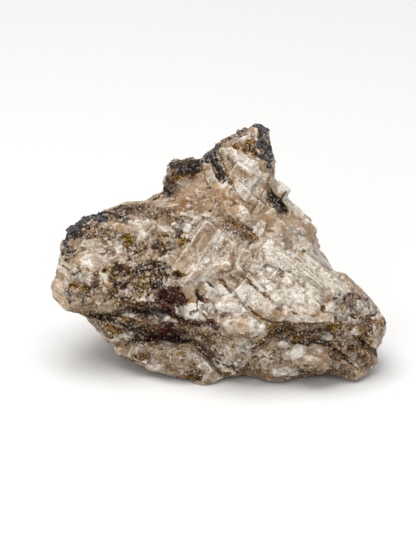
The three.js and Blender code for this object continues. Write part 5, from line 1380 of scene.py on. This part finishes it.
class SPECIMEN_OT_limonite_grains(bpy.types.Operator):
    """Grow ochre limonite grains in the yellow pockets"""

    bl_idname = "specimen.limonite_grains"
    bl_label = "Limonite Grains"

    def execute(self, context):
        # dull ochre crumbs that make the pockets look earthy
        material = grain_material("earthy_limonite", "limonite_grain", 0.35, 0.0, 0.6)
        grow_grains(
            "limonite_grains", material, count=700, likely=lambda s: s["limonite"] ** 3,
            shape=(0.9, 0.8, 0.7), widths=(0.3 * MM, 0.7 * MM), sunk=0.2, lean=1.2,
            seed=sizes().seed + 2)
        return {"FINISHED"}


class SPECIMEN_OT_studio(bpy.types.Operator):
    """Set up the floor, the soft lights and the camera"""

    bl_idname = "specimen.studio"
    bl_label = "Studio"

    def execute(self, context):
        floor_mesh = bpy.data.meshes.new("floor")
        form = bmesh.new()
        bmesh.ops.create_grid(form, x_segments=2, y_segments=2, size=6)
        form.to_mesh(floor_mesh)
        form.free()
        floor_mesh.materials.append(floor_material())
        new_object("floor", floor_mesh)

        world = context.scene.world or bpy.data.worlds.new("studio")
        context.scene.world = world
        world.use_nodes = True
        fill(world.node_tree, world.node_tree.nodes["Background"], {
            "Color": (1, 1, 1, 1), "Strength": ROOM_LIGHT})

        for name, (place, width, power) in LAMPS.items():
            light = bpy.data.lights.new(name, "AREA")
            light.shape = "SQUARE"
            light.size = width
            light.energy = power
            lamp = new_object(name, light)
            lamp.location = place
            aim = Vector(LAMP_AIM) - Vector(place)
            lamp.rotation_euler = aim.to_track_quat("-Z", "Y").to_euler()

        camera = bpy.data.cameras.new("camera")
        camera.sensor_width = 36
        camera.lens = CAMERA_LENS
        camera.clip_start = 0.05
        camera.clip_end = 20
        viewer = new_object("camera", camera)
        sine, cosine = math.sin(FACE_LEAN), math.cos(FACE_LEAN)
        across, up = CAMERA_AIM
        aim = Vector((across, up * sine, up * cosine)) + Vector(FACE_ORIGIN)
        back = Vector((0, -cosine, sine))
        viewer.location = (aim + back * CAMERA_DISTANCE) * MM
        viewer.rotation_euler = (-back).to_track_quat("-Z", "Y").to_euler()
        context.scene.camera = viewer
        context.scene.view_settings.view_transform = "Standard"
        return {"FINISHED"}


class SPECIMEN_PT_panel(bpy.types.Panel):
    """Sidebar panel with the specimen's sizes, colours and steps"""

    bl_idname = "SPECIMEN_PT_panel"
    bl_label = "Quartz with Hematite"
    bl_space_type = "VIEW_3D"
    bl_region_type = "UI"
    bl_category = "Specimen"

    def draw(self, context):
        layout = self.layout
        for group in (context.scene.specimen_sizes, context.scene.specimen_colours):
            for name in group.__annotations__:
                layout.prop(group, name)
        for operator in OPERATORS:
            layout.operator(operator.bl_idname)


GROUPS = (SpecimenSizes, SpecimenColours)
OPERATORS = (
    SPECIMEN_OT_studio,
    SPECIMEN_OT_stone,
    SPECIMEN_OT_hematite_grains,
    SPECIMEN_OT_quartz_grains,
    SPECIMEN_OT_limonite_grains,
)
CLASSES = (*GROUPS, *OPERATORS, SPECIMEN_PT_panel)


def register():
    for cls in CLASSES:
        bpy.utils.register_class(cls)
    bpy.types.Scene.specimen_sizes = bpy.props.PointerProperty(type=SpecimenSizes)
    bpy.types.Scene.specimen_colours = bpy.props.PointerProperty(type=SpecimenColours)


def unregister():
    del bpy.types.Scene.specimen_colours
    del bpy.types.Scene.specimen_sizes
    for cls in reversed(CLASSES):
        bpy.utils.unregister_class(cls)


def main():
    register()
    bpy.ops.specimen.studio()
    bpy.ops.specimen.stone()
    bpy.ops.specimen.hematite_grains()
    bpy.ops.specimen.quartz_grains()
    bpy.ops.specimen.limonite_grains()


if __name__ == "__main__":
    main()
